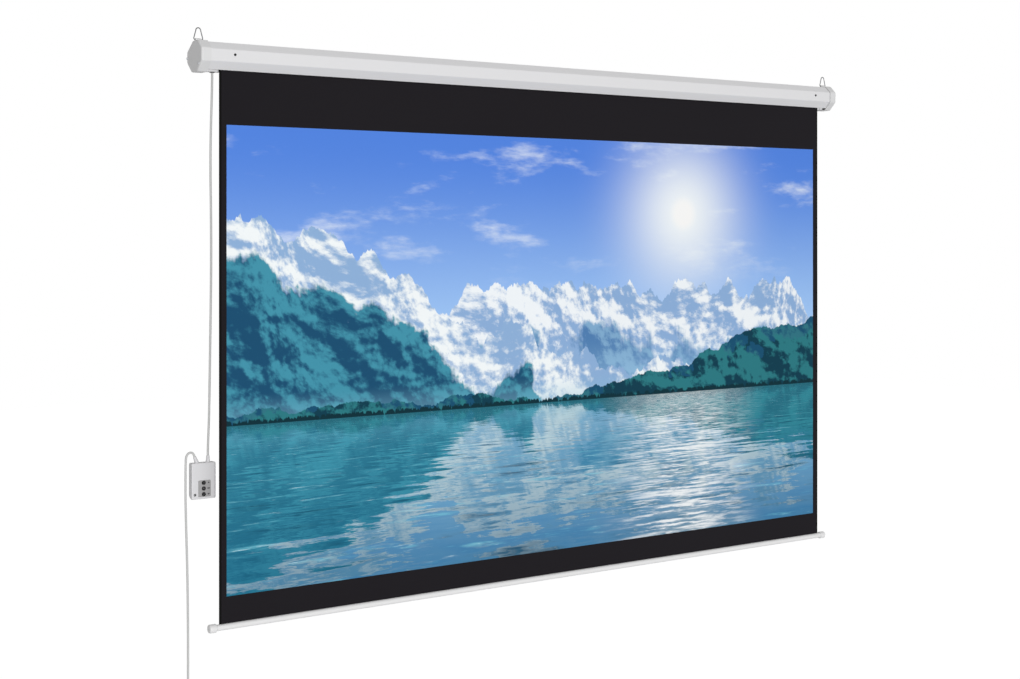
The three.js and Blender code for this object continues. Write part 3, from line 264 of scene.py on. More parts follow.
def drawn_lines(net, place, scale):
    """Drawn or turned metal: fine lines along X, over a slow mottle."""
    lines = net.noise(net.scaled(place, (0.02, 1.0, 1.0)), scale, 4.0, 0.65)
    mottle = net.noise(place, 60.0, 3.0, 0.5)
    return lines, mottle, 0.7, 0.5, (lines - 0.5) * 0.25


def weave(net, place, scale):
    """Coated cloth: two sets of crossing threads that wander a little, over faint slow changes of tone."""
    across = net.noise(net.scaled(place, (0.12, 1.0, 1.0)), scale, 2.0, 0.5)
    down = net.noise(net.scaled(place, (1.0, 1.0, 0.12)), scale, 2.0, 0.5)
    slow = net.noise(place, 2.2, 3.0, 0.5)
    return net.most(across, down), slow, 0.7, 0.52, slow * 0.1


EFFECTS = {
    "grain": effect_group("fine_grain", grain),
    "brushed": effect_group("drawn_lines", drawn_lines),
    "weave": effect_group("plain_weave", weave),
}
FINISHES = {}


def shader(name, roughness, metallic=0.0, specular=0.5, coat=0.0):
    made = bpy.data.materials.new(name)
    made.use_nodes = True
    net = Net(made.node_tree)
    skin = net.fill(made.node_tree.nodes["Principled BSDF"], {
        "Roughness": roughness, "Metallic": metallic, "Specular IOR Level": specular, "Coat Weight": coat,
    })
    return made, net, skin


def dress(net, skin, effect, strength, relief, **values):
    """Puts one of the shared effects on a material's colour, roughness and bump."""
    out = net.group(EFFECTS[effect], **values)
    net.fill(skin, {"Base Color": out["Colour"], "Roughness": out["Roughness"]})
    bump = net.node("ShaderNodeBump", {"Strength": strength, "Distance": relief, "Height": out["Height"]})
    net.put(skin.inputs["Normal"], bump.outputs[0])


def finish(name, effect, colour, roughness, scale, variation, relief=0.00002, strength=0.4, **kind):
    """Adds a finish. The relief is its bump's depth, and kind holds what else differs from the usual."""
    made, net, skin = shader(name, roughness, **kind)
    place = net.node("ShaderNodeTexCoord").outputs["Object"]
    dress(net, skin, effect, strength, relief, Place=place, Colour=(*colour, 1), Roughness=roughness,
          Scale=scale, Variation=variation)
    FINISHES[name] = made


# The picture: a mountain lake under a clear sky, drawn in a frame 1.78 wide and 1 high

HORIZON = 0.36
SUN_X = 1.30
SUN_Y = 0.82
SKY_LOW, SKY_HIGH = (0.44, 0.68, 0.97, 1), (0.085, 0.23, 0.74, 1)
SUN_GLOW, SUN_DISC = (0.90, 0.94, 0.95, 1), (0.95, 0.95, 0.94, 1)
CLOUD = (0.86, 0.91, 0.95, 1)
HAZE, MIST = (0.36, 0.62, 0.86, 1), (0.22, 0.52, 0.68, 1)
TREES = (0.003, 0.028, 0.040, 1)
WATER_FAR, WATER_NEAR = (0.040, 0.31, 0.42, 1), (0.010, 0.15, 0.25, 1)
TROUGH, CREST = (0.003, 0.045, 0.095, 1), (0.20, 0.58, 0.70, 1)
FOAM, GLINT = (0.78, 0.90, 0.93, 1), (0.94, 0.95, 0.95, 1)

# Each ridge: how high its foot and its peaks are, how close its peaks stand, and a seed
FAR_RIDGE = (0.42, 0.235, 1.9, 11.3)
TALL_RIDGE = (0.315, 0.16, 2.6, 4.9)
NEAR_RIDGE = (0.335, 0.060, 3.6, 21.0)
TREE_RIDGE = (0.352, 0.020, 34.0, 33.0)

# Each range: sunlit and shaded rock, snow, how deep the snow lies, the grain of the rock, and a seed
FAR_RANGE = ((0.22, 0.41, 0.62), (0.08, 0.21, 0.44), (0.88, 0.92, 0.95), 0.17, 4.0, 2.7)
TALL_RANGE = ((0.055, 0.29, 0.40), (0.010, 0.075, 0.16), (0.90, 0.94, 0.95), 0.13, 3.4, 7.7)
NEAR_RANGE = ((0.025, 0.19, 0.22), (0.004, 0.045, 0.075), (0.03, 0.17, 0.22), 0.001, 7.0, 5.2)


def ridge_line(net, x, foot, height, scale, seed, detail=8.0, roughness=0.56):
    """The height of one mountain range at x: sharp peaks where its wander crosses the middle."""
    wander = net.noise(net.vector(x + seed, seed), scale, detail, roughness)
    return foot + (1.0 - net.span(wander, 0.5) * 4.5) * height


def range_layer(net, x, y, below, ridge, lit, shaded, snow, snow_depth, rock_grain, seed):
    """Paints one range over what is below: sunlit and shaded faces, with patches of snow near its ridge."""
    lean = (net.noise(net.vector(x, seed), 2.0, 1.0, 0.5) - 0.40) * 1.8
    leaning = x + (y - HORIZON) * lean
    relief = net.noise(net.vector(leaning, y, seed), rock_grain, 10.0, 0.60)
    beside = net.vector(leaning + 0.012, y + 0.012, seed)
    light = net.step(relief - net.noise(beside, rock_grain, 10.0, 0.60), -0.03, 0.035)
    rock = net.mix(light, (*shaded, 1), (*lit, 1))
    under = ridge - y
    white = net.fall(under + (relief - 0.5) * 0.55, snow_depth * 0.8, snow_depth)
    snow_in_shade = (snow[0] * 0.30, snow[1] * 0.46, snow[2] * 0.72, 1)
    snowy = net.mix(light, snow_in_shade, (*snow, 1))
    return net.mix(net.step(under, -0.0012, 0.0012), below, net.mix(white, rock, snowy))


def land_group():
    """Everything above the water, by its place in the picture."""
    net, start, end = new_group("sky_and_mountains", EFFECT_INPUTS[:1], EFFECT_OUTPUTS[:1])
    x, y, _ = net.parts(start["Place"])
    sky = net.mix(net.step(y, 0.34, 1.0), SKY_LOW, SKY_HIGH)
    from_sun = net.math("SQRT", (x - SUN_X) ** 2.0 + (y - SUN_Y) ** 2.0)
    sky = net.mix(net.fall(from_sun, 0.0, 0.46) ** 2.4, sky, SUN_GLOW)
    sky = net.mix(net.fall(from_sun, 0.022, 0.052), sky, SUN_DISC)
    streak = net.noise(net.vector(x * 1.3, y * 4.2, 3.1), 2.1, 9.0, 0.60)
    high = net.step(streak, 0.53, 0.74) * net.step(y, 0.60, 0.78)
    sky = net.mix(high * 0.85, sky, CLOUD)
    land = range_layer(net, x, y, sky, ridge_line(net, x, *FAR_RIDGE), *FAR_RANGE)
    land = net.mix(net.fall(y, HORIZON, 0.52) * 0.55, land, HAZE)
    tall = net.fall(x, 0.0, 1.15) * 0.34 + ridge_line(net, x, *TALL_RIDGE)
    land = range_layer(net, x, y, land, tall, *TALL_RANGE)
    land = net.mix(net.fall(y, HORIZON, 0.43) * 0.35, land, MIST)
    near = net.step(x, 0.95, 1.78) * 0.15 + ridge_line(net, x, *NEAR_RIDGE)
    land = range_layer(net, x, y, land, near, *NEAR_RANGE)
    trees = ridge_line(net, x, *TREE_RIDGE, detail=4.0, roughness=0.7)
    net.put(end["Colour"], net.mix(net.step(trees - y, -0.001, 0.001), land, TREES))
    return net.tree


def picture_group():
    """The whole picture with its lake, which mirrors the land in ripples that grow towards the front."""
    net, start, end = new_group("lake_picture", EFFECT_INPUTS[:1], EFFECT_OUTPUTS[:1])
    land = land_group()
    x, y, _ = net.parts(start["Place"])
    above = net.group(land, Place=net.vector(x, y))["Colour"]
    below_shore = HORIZON - y
    depth = net.math("DIVIDE", below_shore, HORIZON, clamp=True)
    near = depth + 0.05
    across = (x - 0.9) / near
    away = 1.6 / near
    ripple = net.noise(net.vector(across * 2.4, away * 5.5), 1.0, 9.0, 0.64)
    chop = net.noise(net.vector(across * 7.0, away * 19.0), 1.0, 7.0, 0.66)
    swing = (ripple - 0.5) * (near * 0.70)
    mirrored = net.most(2 * HORIZON - y + swing, HORIZON)
    image = net.group(land, Place=net.vector(x + swing * 0.35, mirrored))["Colour"]
    water = net.mix(net.step(depth, 0.0, 1.0), WATER_FAR, WATER_NEAR)
    water = net.mix(0.62 - depth * 0.40, water, image)
    water = net.mix(net.step(1.0 - ripple, 0.53, 0.72) * 0.75, water, TROUGH)
    crest = net.step(ripple + (chop - 0.5) * 0.5, 0.56, 0.74)
    water = net.mix(crest * 0.65, water, CREST)
    foam = net.step(chop, 0.60, 0.72) * net.step(ripple, 0.46, 0.60)
    water = net.mix(foam * 0.8, water, FOAM)
    path = net.fall(net.span(x, SUN_X), 0.03, 0.30)
    glint = net.step(net.most(ripple, chop), 0.50, 0.60) * path
    water = net.mix(glint * 0.9, water, GLINT)
    net.put(end["Colour"], net.mix(net.step(below_shore, -0.0008, 0.0008), above, water))
    return net.tree


CLOTH_BLACK = (0.0108, 0.0094, 0.0118)
EDGE_BLACK = (0.0015, 0.0015, 0.0015)


def cloth_with_picture():
    """The front of the cloth: the picture, the matt black round it and a denser black edge."""
    made, net, skin = shader("picture_cloth", 0.85, specular=0.12)
    place = net.node("ShaderNodeTexCoord").outputs["Object"]
    x, _, z = net.parts(place)
    picture_foot = PICTURE_TOP - PICTURE_HEIGHT
    across = (x + PICTURE_HALF) / PICTURE_HEIGHT
    up = (z - picture_foot) / PICTURE_HEIGHT
    picture = net.group(picture_group(), Place=net.vector(across, up))["Colour"]
    beside = net.span(x) - PICTURE_HALF
    over = net.span(z, picture_foot + PICTURE_HEIGHT / 2) - PICTURE_HEIGHT / 2
    inside = net.math("LESS_THAN", net.most(beside, over), 0.0)
    selvedge = net.math("GREATER_THAN", net.span(x), CLOTH_HALF - SELVEDGE)
    black = net.mix(selvedge, (*CLOTH_BLACK, 1), (*EDGE_BLACK, 1))
    dress(net, skin, "weave", 0.25, 0.00008, Place=place, Colour=net.mix(inside, black, picture),
          Roughness=0.82, Scale=1500.0, Variation=0.10)
    FINISHES["picture_fabric"] = made


# Each finish: effect, colour, roughness, grains per metre, variation, and then depth and strength of the bump

finish("casing_paint", "grain", (0.75, 0.747, 0.758), 0.42, 1400.0, 0.03, 0.00001, 0.25, specular=0.4)
finish("cap_plastic", "grain", (0.715, 0.714, 0.717), 0.52, 900.0, 0.05, 0.00003, 0.5, specular=0.35)
finish("dark_screw", "brushed", (0.035, 0.035, 0.037), 0.42, 2500.0, 0.3, metallic=0.85)
finish("steel", "brushed", (0.13, 0.131, 0.134), 0.38, 2200.0, 0.25, metallic=1.0)
finish("zinc_plate", "grain", (0.50, 0.51, 0.53), 0.42, 260.0, 0.35, metallic=1.0)
finish("black_plastic", "grain", (0.006, 0.006, 0.0065), 0.5, 1100.0, 0.2, specular=0.15)
finish("motor_case", "brushed", (0.28, 0.29, 0.31), 0.4, 700.0, 0.25, metallic=0.7)
finish("white_screw", "grain", (0.84, 0.84, 0.82), 0.45, 900.0, 0.05)
finish("red_screw", "grain", (0.48, 0.035, 0.022), 0.45, 900.0, 0.1)
finish("nylon", "grain", (0.76, 0.74, 0.67), 0.5, 700.0, 0.06)
finish("aluminium", "brushed", (0.56, 0.57, 0.58), 0.36, 1600.0, 0.25, metallic=1.0)
finish("black_fabric", "weave", CLOTH_BLACK, 0.85, 1500.0, 0.25, 0.00008, 0.3, specular=0.12)
cloth_with_picture()
finish("brass", "brushed", (0.72, 0.50, 0.20), 0.3, 1800.0, 0.2, metallic=1.0)
finish("bar_paint", "grain", (0.80, 0.795, 0.795), 0.4, 1400.0, 0.03, 0.00001, 0.25, specular=0.4)
finish("box_plastic", "grain", (0.715, 0.71, 0.725), 0.46, 1000.0, 0.04, 0.00002, 0.4, specular=0.4)
finish("panel_grey", "grain", (0.375, 0.37, 0.372), 0.5, 1300.0, 0.12, 0.00002, 0.4, specular=0.3)
finish("panel_ink", "grain", (0.05, 0.05, 0.055), 0.5, 1300.0, 0.1)
# Painted highlight: the paler grey of the dot in the middle of each button stands for the gloss on its dome
finish("button_dot", "grain", (0.24, 0.24, 0.245), 0.45, 1300.0, 0.1)
finish("board", "grain", (0.028, 0.145, 0.05), 0.4, 500.0, 0.3, coat=0.4)
finish("terminal", "grain", (0.028, 0.11, 0.27), 0.45, 800.0, 0.1)
finish("cable_jacket", "grain", (0.565, 0.565, 0.56), 0.5, 800.0, 0.06, specular=0.35)
finish("strap", "weave", (0.022, 0.022, 0.024), 0.8, 1800.0, 0.4, 0.0002, 0.6, specular=0.2)


# Piece helpers

def shown(name, data, finish_names, body, stands_for=()):
    """Places a finished mesh or curve in the scene as one piece of the object."""
    piece = placed(name, data)
    for word in finish_names:
        data.materials.append(FINISHES[word])
    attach(piece, body)
    if stands_for:
        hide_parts(*stands_for)
    return piece


WIDE_FACE = 0.0035


def shade(bm, sharp):
    """Smooths edges within an angle, but keeps wide flat faces evenly lit beside the bends round them."""
    for face in bm.faces:
        face.smooth = True
    for edge in bm.edges:
        edge.smooth = len(edge.link_faces) == 2 and edge.calc_face_angle(0.0) < sharp
        if not edge.smooth:
            continue
        small, large = sorted(f.calc_area() for f in edge.link_faces)
        widest = max(edge.link_faces, key=lambda f: f.calc_area())
        longest = max(e.calc_length() for e in widest.edges)
        if large > 4 * small and large / longest > WIDE_FACE:
            edge.smooth = False


def meshed(name, bm, finish_name, stands_for=(), body="casing", sharp=32, closed=True):
    """Turns a bmesh into a piece, with its doubles merged, its faces outwards and its sharp edges kept."""
    bmesh.ops.remove_doubles(bm, verts=bm.verts, dist=1e-6)
    if closed:
        face_outwards(bm)
    shade(bm, math.radians(sharp))
    mesh = bpy.data.meshes.new(name)
    bm.to_mesh(mesh)
    bm.free()
    names = [finish_name] if isinstance(finish_name, str) else finish_name
    return shown(name, mesh, names, body, stands_for)


def sheet(name, bm, finish_name, stands_for, thickness, offset, body="casing", sharp=60):
    """Turns an open bmesh into a piece with a wall: offset -1 builds it inwards, and 0 to both sides."""
    piece = meshed(name, bm, finish_name, stands_for, body, sharp=sharp, closed=False)
    wall = piece.modifiers.new("wall", "SOLIDIFY")
    wall.thickness = thickness
    wall.offset = offset
    return piece


def mm(points):
    """Points given in millimetres."""
    return [tuple(value / 1000 for value in point) for point in points]


def only(kind, geometry):
    return [item for item in geometry if isinstance(item, kind)]


def once_each(items):
    return list(dict.fromkeys(items))


def upright(x, y, z, width, height):
    """The corners of a rectangle that stands across Y."""
    return [(x + a * width / 2, y, z + b * height / 2) for a, b in CORNER_SIGNS]


def level(x, y, z, width, depth):
    """The corners of a rectangle that lies across Z."""
    return [(x + a * width / 2, y + b * depth / 2, z) for a, b in CORNER_SIGNS]


def open_line(bm, points):
    """Edges from point to point. Returns the points' vertices and the edges."""
    verts = [bm.verts.new(p) for p in points]
    return verts, [bm.edges.new(pair) for pair in zip(verts, verts[1:])]


def move(bm, verts, shift):
    bmesh.ops.translate(bm, verts=verts, vec=shift)


def face_outwards(bm):
    bmesh.ops.recalc_face_normals(bm, faces=bm.faces)


def face_of(bm, points):
    return bm.faces.new([bm.verts.new(p) for p in points])


def prism(bm, points, shift):
    """A closed solid: the outline drawn out by a shift."""
    made = bmesh.ops.extrude_face_region(bm, geom=[face_of(bm, points)], use_keep_orig=True)["geom"]
    move(bm, only(VERT, made), shift)
    face_outwards(bm)


def swept(bm, edges, shift):
    """Draws edges out by a shift, into faces."""
    made = bmesh.ops.extrude_edge_only(bm, edges=edges)["geom"]
    move(bm, only(VERT, made), shift)


def strip(bm, points, half):
    """An open sheet along X: the line through its (y, z) points, drawn out over twice the half."""
    _, edges = open_line(bm, [(-half, y, z) for y, z in points])
    swept(bm, edges, (2 * half, 0, 0))
    bm.faces.ensure_lookup_table()


def look_away(bm, face, centre):
    """Turns every face of a sheet over if this one looks towards the centre."""
    bm.normal_update()
    if face.normal.dot(face.calc_center_median() - Vector(centre)) < 0:
        bmesh.ops.reverse_faces(bm, faces=bm.faces)


def bevel(bm, geometry, offset, segments, affect="EDGES"):
    bmesh.ops.bevel(
        bm, geom=geometry, offset=offset, offset_type="OFFSET", segments=segments, profile=0.5,
        affect=affect, material=-1,
    )


def round_edges(bm, edges, radius, segments):
    """Rounds each edge to the same radius, whatever the angle between its faces."""
    for edge in edges:
        bevel(bm, [edge], radius * math.tan(edge.calc_face_angle() / 2), segments)


def edges_along(bm, axis, least):
    """The edges that run along an axis for at least a length."""
    reaches = [(edge, edge.verts[1].co - edge.verts[0].co) for edge in bm.edges]
    return [edge for edge, reach in reaches if abs(reach[axis]) > max(least, 0.999 * reach.length)]


def lying_at(items, axis, place):
    """The edges or faces whose corners all lie at one place along an axis."""
    return [item for item in items if all(abs(v.co[axis] - place) < 1e-5 for v in item.verts)]


def drawn_out(bm, faces):
    """Draws faces out of a closed solid, and leaves none inside it. Returns the new vertices and faces."""
    made = bmesh.ops.extrude_face_region(bm, geom=faces)["geom"]
    bmesh.ops.delete(bm, geom=faces, context="FACES")
    return only(VERT, made), only(FACE, made)


def pocket(bm, face, wall, depth):
    """Hollows a flat face: a rim of the wall's width, and a pocket of the depth behind it."""
    normal = face.normal.copy()
    bmesh.ops.inset_region(bm, faces=[face], thickness=wall, depth=0.0, use_even_offset=True)
    verts, _ = drawn_out(bm, [face])
    move(bm, verts, -normal * depth)


def turned(bm, profile, place, aim, steps=48):
    """Spins a profile of (radius, height) points round an aim at a place."""
    turn = AXIS_Z.rotation_difference(aim).to_matrix()
    verts, edges = open_line(bm, [Vector(place) + turn @ Vector((r, 0, height)) for r, height in profile])
    bmesh.ops.spin(
        bm, geom=verts + edges, cent=place, axis=aim, dvec=(0, 0, 0), angle=math.tau, steps=steps,
        use_merge=True,
    )
    bmesh.ops.remove_doubles(bm, verts=bm.verts, dist=1e-7)


def spun(name, profile, place, aim, finish_name, stands_for=(), body="casing", steps=48):
    bm = bmesh.new()
    turned(bm, profile, place, Vector(aim), steps)
    return meshed(name, bm, finish_name, stands_for, body)


def round_curve(name, radius, resolution, kind):
    """An open round curve with one spline. Returns both."""
    line = bpy.data.curves.new(name, "CURVE")
    line.dimensions = "3D"
    line.bevel_depth = radius
    line.bevel_resolution = resolution
    line.resolution_u = 6
    line.use_fill_caps = True
    spline = line.splines.new(kind)
    spline.use_smooth = True
    return line, spline


# Cords

CABLE_ROUTE = [
    (EXIT_X, ROLLER_Y, -0.0203), (EXIT_X, ROLLER_Y, -0.0300), (EXIT_X, -0.0375, -0.0406),
    (EXIT_X, -0.0375, -0.052), (-1.1376, -0.0366, -0.111), (-1.1388, -0.034, -0.191),
    (-1.1384, -0.031, -0.297), (-1.1356, -0.028, -0.402), (-1.1330, -0.024, -0.520),
    (-1.1326, -0.021, -0.641), (-1.1325, -0.0175, -0.747), (-1.1325, -0.014, -0.853),
    (-1.1329, -0.0105, -0.959), (-1.1343, -0.0087, -1.015), (-1.1348, -0.008, -1.042),
    (-1.1348, -0.008, -1.0545),
]
LEAD_ROUTE = [(x, LEAD_Y, z) for x, z in (
    (-1.1726, -1.0561), (-1.1734, -1.0542), (-1.1758, -1.0484), (-1.1793, -1.0445), (-1.1849, -1.0426),
    (-1.1907, -1.0445), (-1.1953, -1.0494), (-1.1977, -1.057), (-1.1985, -1.070), (-1.1989, -1.100),
    (-1.1989, -1.160), (-1.1979, -1.218), (-1.1959, -1.285), (-1.1941, -1.350), (-1.1928, -1.429),
    (-1.1921, -1.500), (-1.1919, -1.570), (-1.1919, -1.620), (-1.1919, -1.650),
)]
HANK_LOOPS = 3
HANK_RUN = 0.060
HANK_RUN_SHARE = 0.125
HANK_FOLD = 0.018
HANK_PITCH = 0.008
HANK_LAYER = 0.0069
HANK_WAIST = 0.010
HANK_SPREAD = 0.024
HANK_OUTER = 0.030
HANK_REACH = 0.072
HANK_CROSSING = 0.25
HANK_STEPS = 24
HANK_ENTRY = 6
HANK_PLACE = Vector((-1.1619, -0.008, -1.7223))
PLUG_TOP = Vector((-1.1919, -0.0149, -1.8189))
PLUG_ENTRY = (0.016, 0.008, 0.0, -0.004)


def smooth(value):
    t = min(max(value, 0.0), 1.0)
    return t * t * (3 - 2 * t)


def loop_point(turns):
    """A point of the hank at a number of loops from its first run, before its waist is drawn in."""
    radius = HANK_FOLD + HANK_PITCH * abs(turns - HANK_LOOPS / 2)
    half_share = HANK_RUN_SHARE / 2
    part = turns - math.floor(turns) + half_share
    along = part % 0.5 - half_share
    side = -1 if part < 0.5 or part >= 1 else 1
    if along <= half_share:
        return side * radius, side * along / half_share * HANK_RUN / 2
    angle = math.pi * (along - half_share) / (0.5 - HANK_RUN_SHARE)
    return side * radius * math.cos(angle), side * (HANK_RUN / 2 + radius * math.sin(angle))


def drawn_in(x, z, layer):
    """Pulls a point of the hank in to its waist, where the tie holds it."""
    waist = HANK_WAIST * math.exp(-((z / HANK_SPREAD) ** 2))
    drawn = math.copysign(max(abs(x) - waist, 0.0), x)
    return HANK_PLACE + Vector((drawn, -layer * HANK_LAYER, z))


def hank_route():
    points = [drawn_in(-HANK_OUTER, HANK_REACH * (1 - k / HANK_ENTRY), 0) for k in range(1, HANK_ENTRY)]
    for k in range(HANK_LOOPS * HANK_STEPS + 1):
        turns = k / HANK_STEPS
        layer = smooth(0.5 + (turns - HANK_LOOPS / 2) / HANK_CROSSING)
        points.append(drawn_in(*loop_point(turns), layer))
    points += [drawn_in(-HANK_OUTER, -HANK_REACH * k / HANK_ENTRY, 1) for k in range(1, HANK_ENTRY + 1)]
    return points


def cord_curve(name, points, stands_for):
    """One unbroken cord through its points, round and smooth."""
    line, spline = round_curve(name, CORD_RADIUS, 4, "BEZIER")
    spline.bezier_points.add(len(points) - 1)
    for knot, place in zip(spline.bezier_points, points):
        knot.co = place
        knot.handle_left_type = knot.handle_right_type = "AUTO"
    return shown(name, line, ["cable_jacket"], "casing", stands_for)


motor_cable = cord_curve("motor_cable", CABLE_ROUTE, ["cable_upper", "motor_lead"])
tail = [PLUG_TOP + Vector((0, 0, rise)) for rise in PLUG_ENTRY]
mains_lead = cord_curve(
    "mains_lead", LEAD_ROUTE + hank_route() + tail, ["cable_lower", "cable_hank", "cable_tail"],
)


# Casing and end caps

# The end cap's outline in Y and Z, from the front face round over the top and back
CAP_CORNERS = mm([
    (-90, -14), (-90, 20), (-68, 41.5), (-34, 41.5), (0, 14), (0, -16), (-26, -41.5), (-64, -41.5),
])
BACK_EDGE = 4


def inset_outline(corners, distances):
    """An outline with each edge moved inwards by its own distance. Its corners run clockwise in Y and Z."""
    lines = []
    for i, corner in enumerate(corners):
        start, end = Vector(corner), Vector(corners[(i + 1) % len(corners)])
        along = (end - start).normalized()
        inwards = Vector((along.y, -along.x))
        lines.append((start + inwards * distances[i], along))
    moved = []
    for i in range(len(corners)):
        (p, d), (q, e) = lines[i - 1], lines[i]
        step = ((q - p).x * e.y - (q - p).y * e.x) / (d.x * e.y - d.y * e.x)
        moved.append(tuple(p + d * step))
    return moved


CASING_CORNERS = inset_outline(CAP_CORNERS, [0.0 if i == BACK_EDGE else CAP_PROUD for i in range(8)])
SCREW_PORTS = {"front": (-0.07392, -0.02067), "back": (-0.0041, -0.0034)}
PORT_BORE = 0.0019
PORT_OUTSIDE = 0.0036
BOSS_HALF = mm([(0, 3), (1.9, 3), (1.9, 8.6), (2.3, 9), (3.1, 9), (3.6, 8.5)])
BOSS_PROFILE = BOSS_HALF + [(radius, -height) for radius, height in reversed(BOSS_HALF)]
BOSS_FOOT = (0.0174, 0.0072)
BOSS_FOOT_Z = 0.0405


def add_casing():
    """The formed casing: one bent sheet with two slot lips, open along the slot, and its two screw ports."""
    front_low, bottom_front = CASING_CORNERS[0], CASING_CORNERS[7]
    share = (SLOT_FRONT - bottom_front[0]) / (front_low[0] - bottom_front[0])
    lip_foot = bottom_front[1] + share * (front_low[1] - bottom_front[1])
    outline = [(SLOT_FRONT, LIP_TOP), (SLOT_FRONT, lip_foot), *CASING_CORNERS[:7]]
    outline += [(SLOT_BACK, CASING_BOTTOM), (SLOT_BACK, LIP_TOP)]
    bm = bmesh.new()
    strip(bm, outline, CASING_HALF)
    look_away(bm, min(bm.faces, key=lambda f: f.calc_center_median().y), (0, ROLLER_Y, 0))
    bends = [e for e in edges_along(bm, 0, CASING_HALF) if len(e.link_faces) == 2]
    tight = [e for e in bends if min(abs(e.verts[0].co.y - y) for y in (SLOT_FRONT, SLOT_BACK)) < 1e-5]
    round_edges(bm, [e for e in bends if e not in tight], 0.0035, 6)
    round_edges(bm, tight, 0.0008, 4)
    sheet("casing_profile", bm, "casing_paint", ["casing_shell"], CASING_WALL, -1.0, sharp=32)
    section = [(PORT_BORE, -1), (PORT_OUTSIDE, -1), (PORT_OUTSIDE, 1), (PORT_BORE, 1), (PORT_BORE, -1)]
    bm = bmesh.new()
    for y, z in SCREW_PORTS.values():
        turned(bm, [(radius, end * CASING_HALF) for radius, end in section], (0, y, z), AXIS_X, 24)
    meshed("casing_screw_ports", bm, "casing_paint")


def add_end_cap(word, side):
    """A moulded end cap: its rounded skin, its pocket and the boss that holds the hanging loop."""
    bm = bmesh.new()
    inner = side * (CASING_HALF + SEAM)
    outer = side * HALF_LENGTH
    prism(bm, [(inner, y, z) for y, z in CAP_CORNERS], (outer - inner, 0, 0))
    round_edges(bm, edges_along(bm, 0, 0.02), 0.006, 7)
    bevel(bm, lying_at(bm.edges, 0, outer), 0.005, 7)
    face_outwards(bm)
    for face in lying_at(bm.faces, 0, inner):
        pocket(bm, face, CAP_WALL, CAP_HOLLOW)
    meshed("cap_" + word, bm, "cap_plastic", ["end_cap_" + word], sharp=40)
    # the boss on its top, with a bore at each end for the loop's wire
    bm = bmesh.new()
    turned(bm, BOSS_PROFILE, (side * BAIL_X, BAIL_Y, BAIL_Z), AXIS_X, 40)
    prism(bm, level(side * BAIL_X, BAIL_Y, BOSS_FOOT_Z, *BOSS_FOOT), (0, 0, BAIL_Z - BOSS_FOOT_Z))
    meshed("loop_boss_" + word, bm, "cap_plastic")


# A pan head: its cross recess, and radius and height of each ring from the cross down its shank
PAN_TOP = 0.002
CROSS_ARM = 0.0019
CROSS_HALF = 0.00045
CROSS_DEPTH = 0.0009
CROSS_NARROWING = 0.7
PAN_FIRST = (0.0023, 0.00196)
PAN_RINGS = mm([(2.9, 1.85), (3.4, 1.45), (3.6, 0.95), (3.6, 0.3), (1.6, 0.3), (1.6, -8)])


def add_pan_screw(name, place, aim, node, finish_word="dark_screw"):
    """A pan-head screw with a cross recess, and its shank."""
    bm = bmesh.new()
    a, h = CROSS_ARM, CROSS_HALF
    half_way = [(a, -h), (a, h), (h, h), (h, a), (-h, a), (-h, h)]
    all_round = half_way + [(-x, -y) for x, y in half_way]
    cross = face_of(bm, [(x, y, PAN_TOP) for x, y in all_round])
    ring = bmesh.ops.create_circle(bm, cap_ends=False, segments=32, radius=PAN_FIRST[0])["verts"]
    move(bm, ring, (0, 0, PAN_FIRST[1]))
    ring_edges = once_each(e for v in ring for e in v.link_edges)
    bmesh.ops.bridge_loops(bm, edges=list(cross.edges) + ring_edges)
    for radius, height in PAN_RINGS:
        made = bmesh.ops.extrude_edge_only(bm, edges=ring_edges)["geom"]
        ring, ring_edges = only(VERT, made), only(EDGE, made)
        grow = radius / ring[0].co.xy.length
        bmesh.ops.scale(bm, verts=ring, vec=(grow, grow, 1.0))
        move(bm, ring, (0, 0, height - ring[0].co.z))
    bmesh.ops.edgeloop_fill(bm, edges=ring_edges)
    verts, _ = drawn_out(bm, [cross])
    move(bm, verts, (0, 0, -CROSS_DEPTH))
    bmesh.ops.scale(bm, verts=verts, vec=(CROSS_NARROWING, CROSS_NARROWING, 1.0))
    turn = AXIS_Z.rotation_difference(Vector(aim)).to_matrix().to_4x4()
    bmesh.ops.transform(bm, matrix=Matrix.Translation(place) @ turn, verts=bm.verts)
    meshed(name, bm, finish_word, [node], sharp=35)


LOOP_FOOT = 0.003
LOOP_HALF = 0.01275
LOOP_BEND = 0.0035
LOOP_ARC = 0.007
LOOP_ARC_Z = 0.024


def add_bail(word, side):
    """A hanging loop: one bent wire with its two feet in the cap's boss."""
    pivot = Vector((side * BAIL_X, BAIL_Y, BAIL_Z))
    bend_x = LOOP_BEND - LOOP_HALF
    points = [(-LOOP_FOOT, 0.0), (bend_x, 0.0)]
    for angle in (math.pi / 8 * k for k in range(1, 5)):
        points.append((bend_x - LOOP_BEND * math.sin(angle), LOOP_BEND * (1 - math.cos(angle))))
    for angle in (math.pi / 16 * k for k in range(9)):
        points.append((-LOOP_ARC * math.cos(angle), LOOP_ARC_Z + LOOP_ARC * math.sin(angle)))
    points += [(-x, z) for x, z in reversed(points[:-1])]
    wire, spline = round_curve("hanging_loop_" + word, BAIL_WIRE, 5, "POLY")
    spline.points.add(len(points) - 1)
    for knot, (x, z) in zip(spline.points, points):
        knot.co = (*(pivot + Vector((x, 0, z))), 1.0)
    shown("hanging_loop_" + word, wire, ["steel"], "loop_" + word, ["bail_" + word])


add_casing()
for side_word, side_sign in SIDES.items():
    add_end_cap(side_word, side_sign)
    add_bail(side_word, side_sign)
    for port_word, port_place in SCREW_PORTS.items():
        ending = side_word + "_" + port_word
        add_pan_screw(
            "cap_fixing_" + ending, (side_sign * HALF_LENGTH, *port_place), (side_sign, 0, 0),
            "cap_screw_" + ending, "zinc_plate",
        )
    front_place = (side_sign * FRONT_SCREW_X, CASING_FRONT, FRONT_SCREW_Z)
    add_pan_screw("bracket_fixing_" + side_word, front_place, FORWARD, "front_screw_" + side_word)


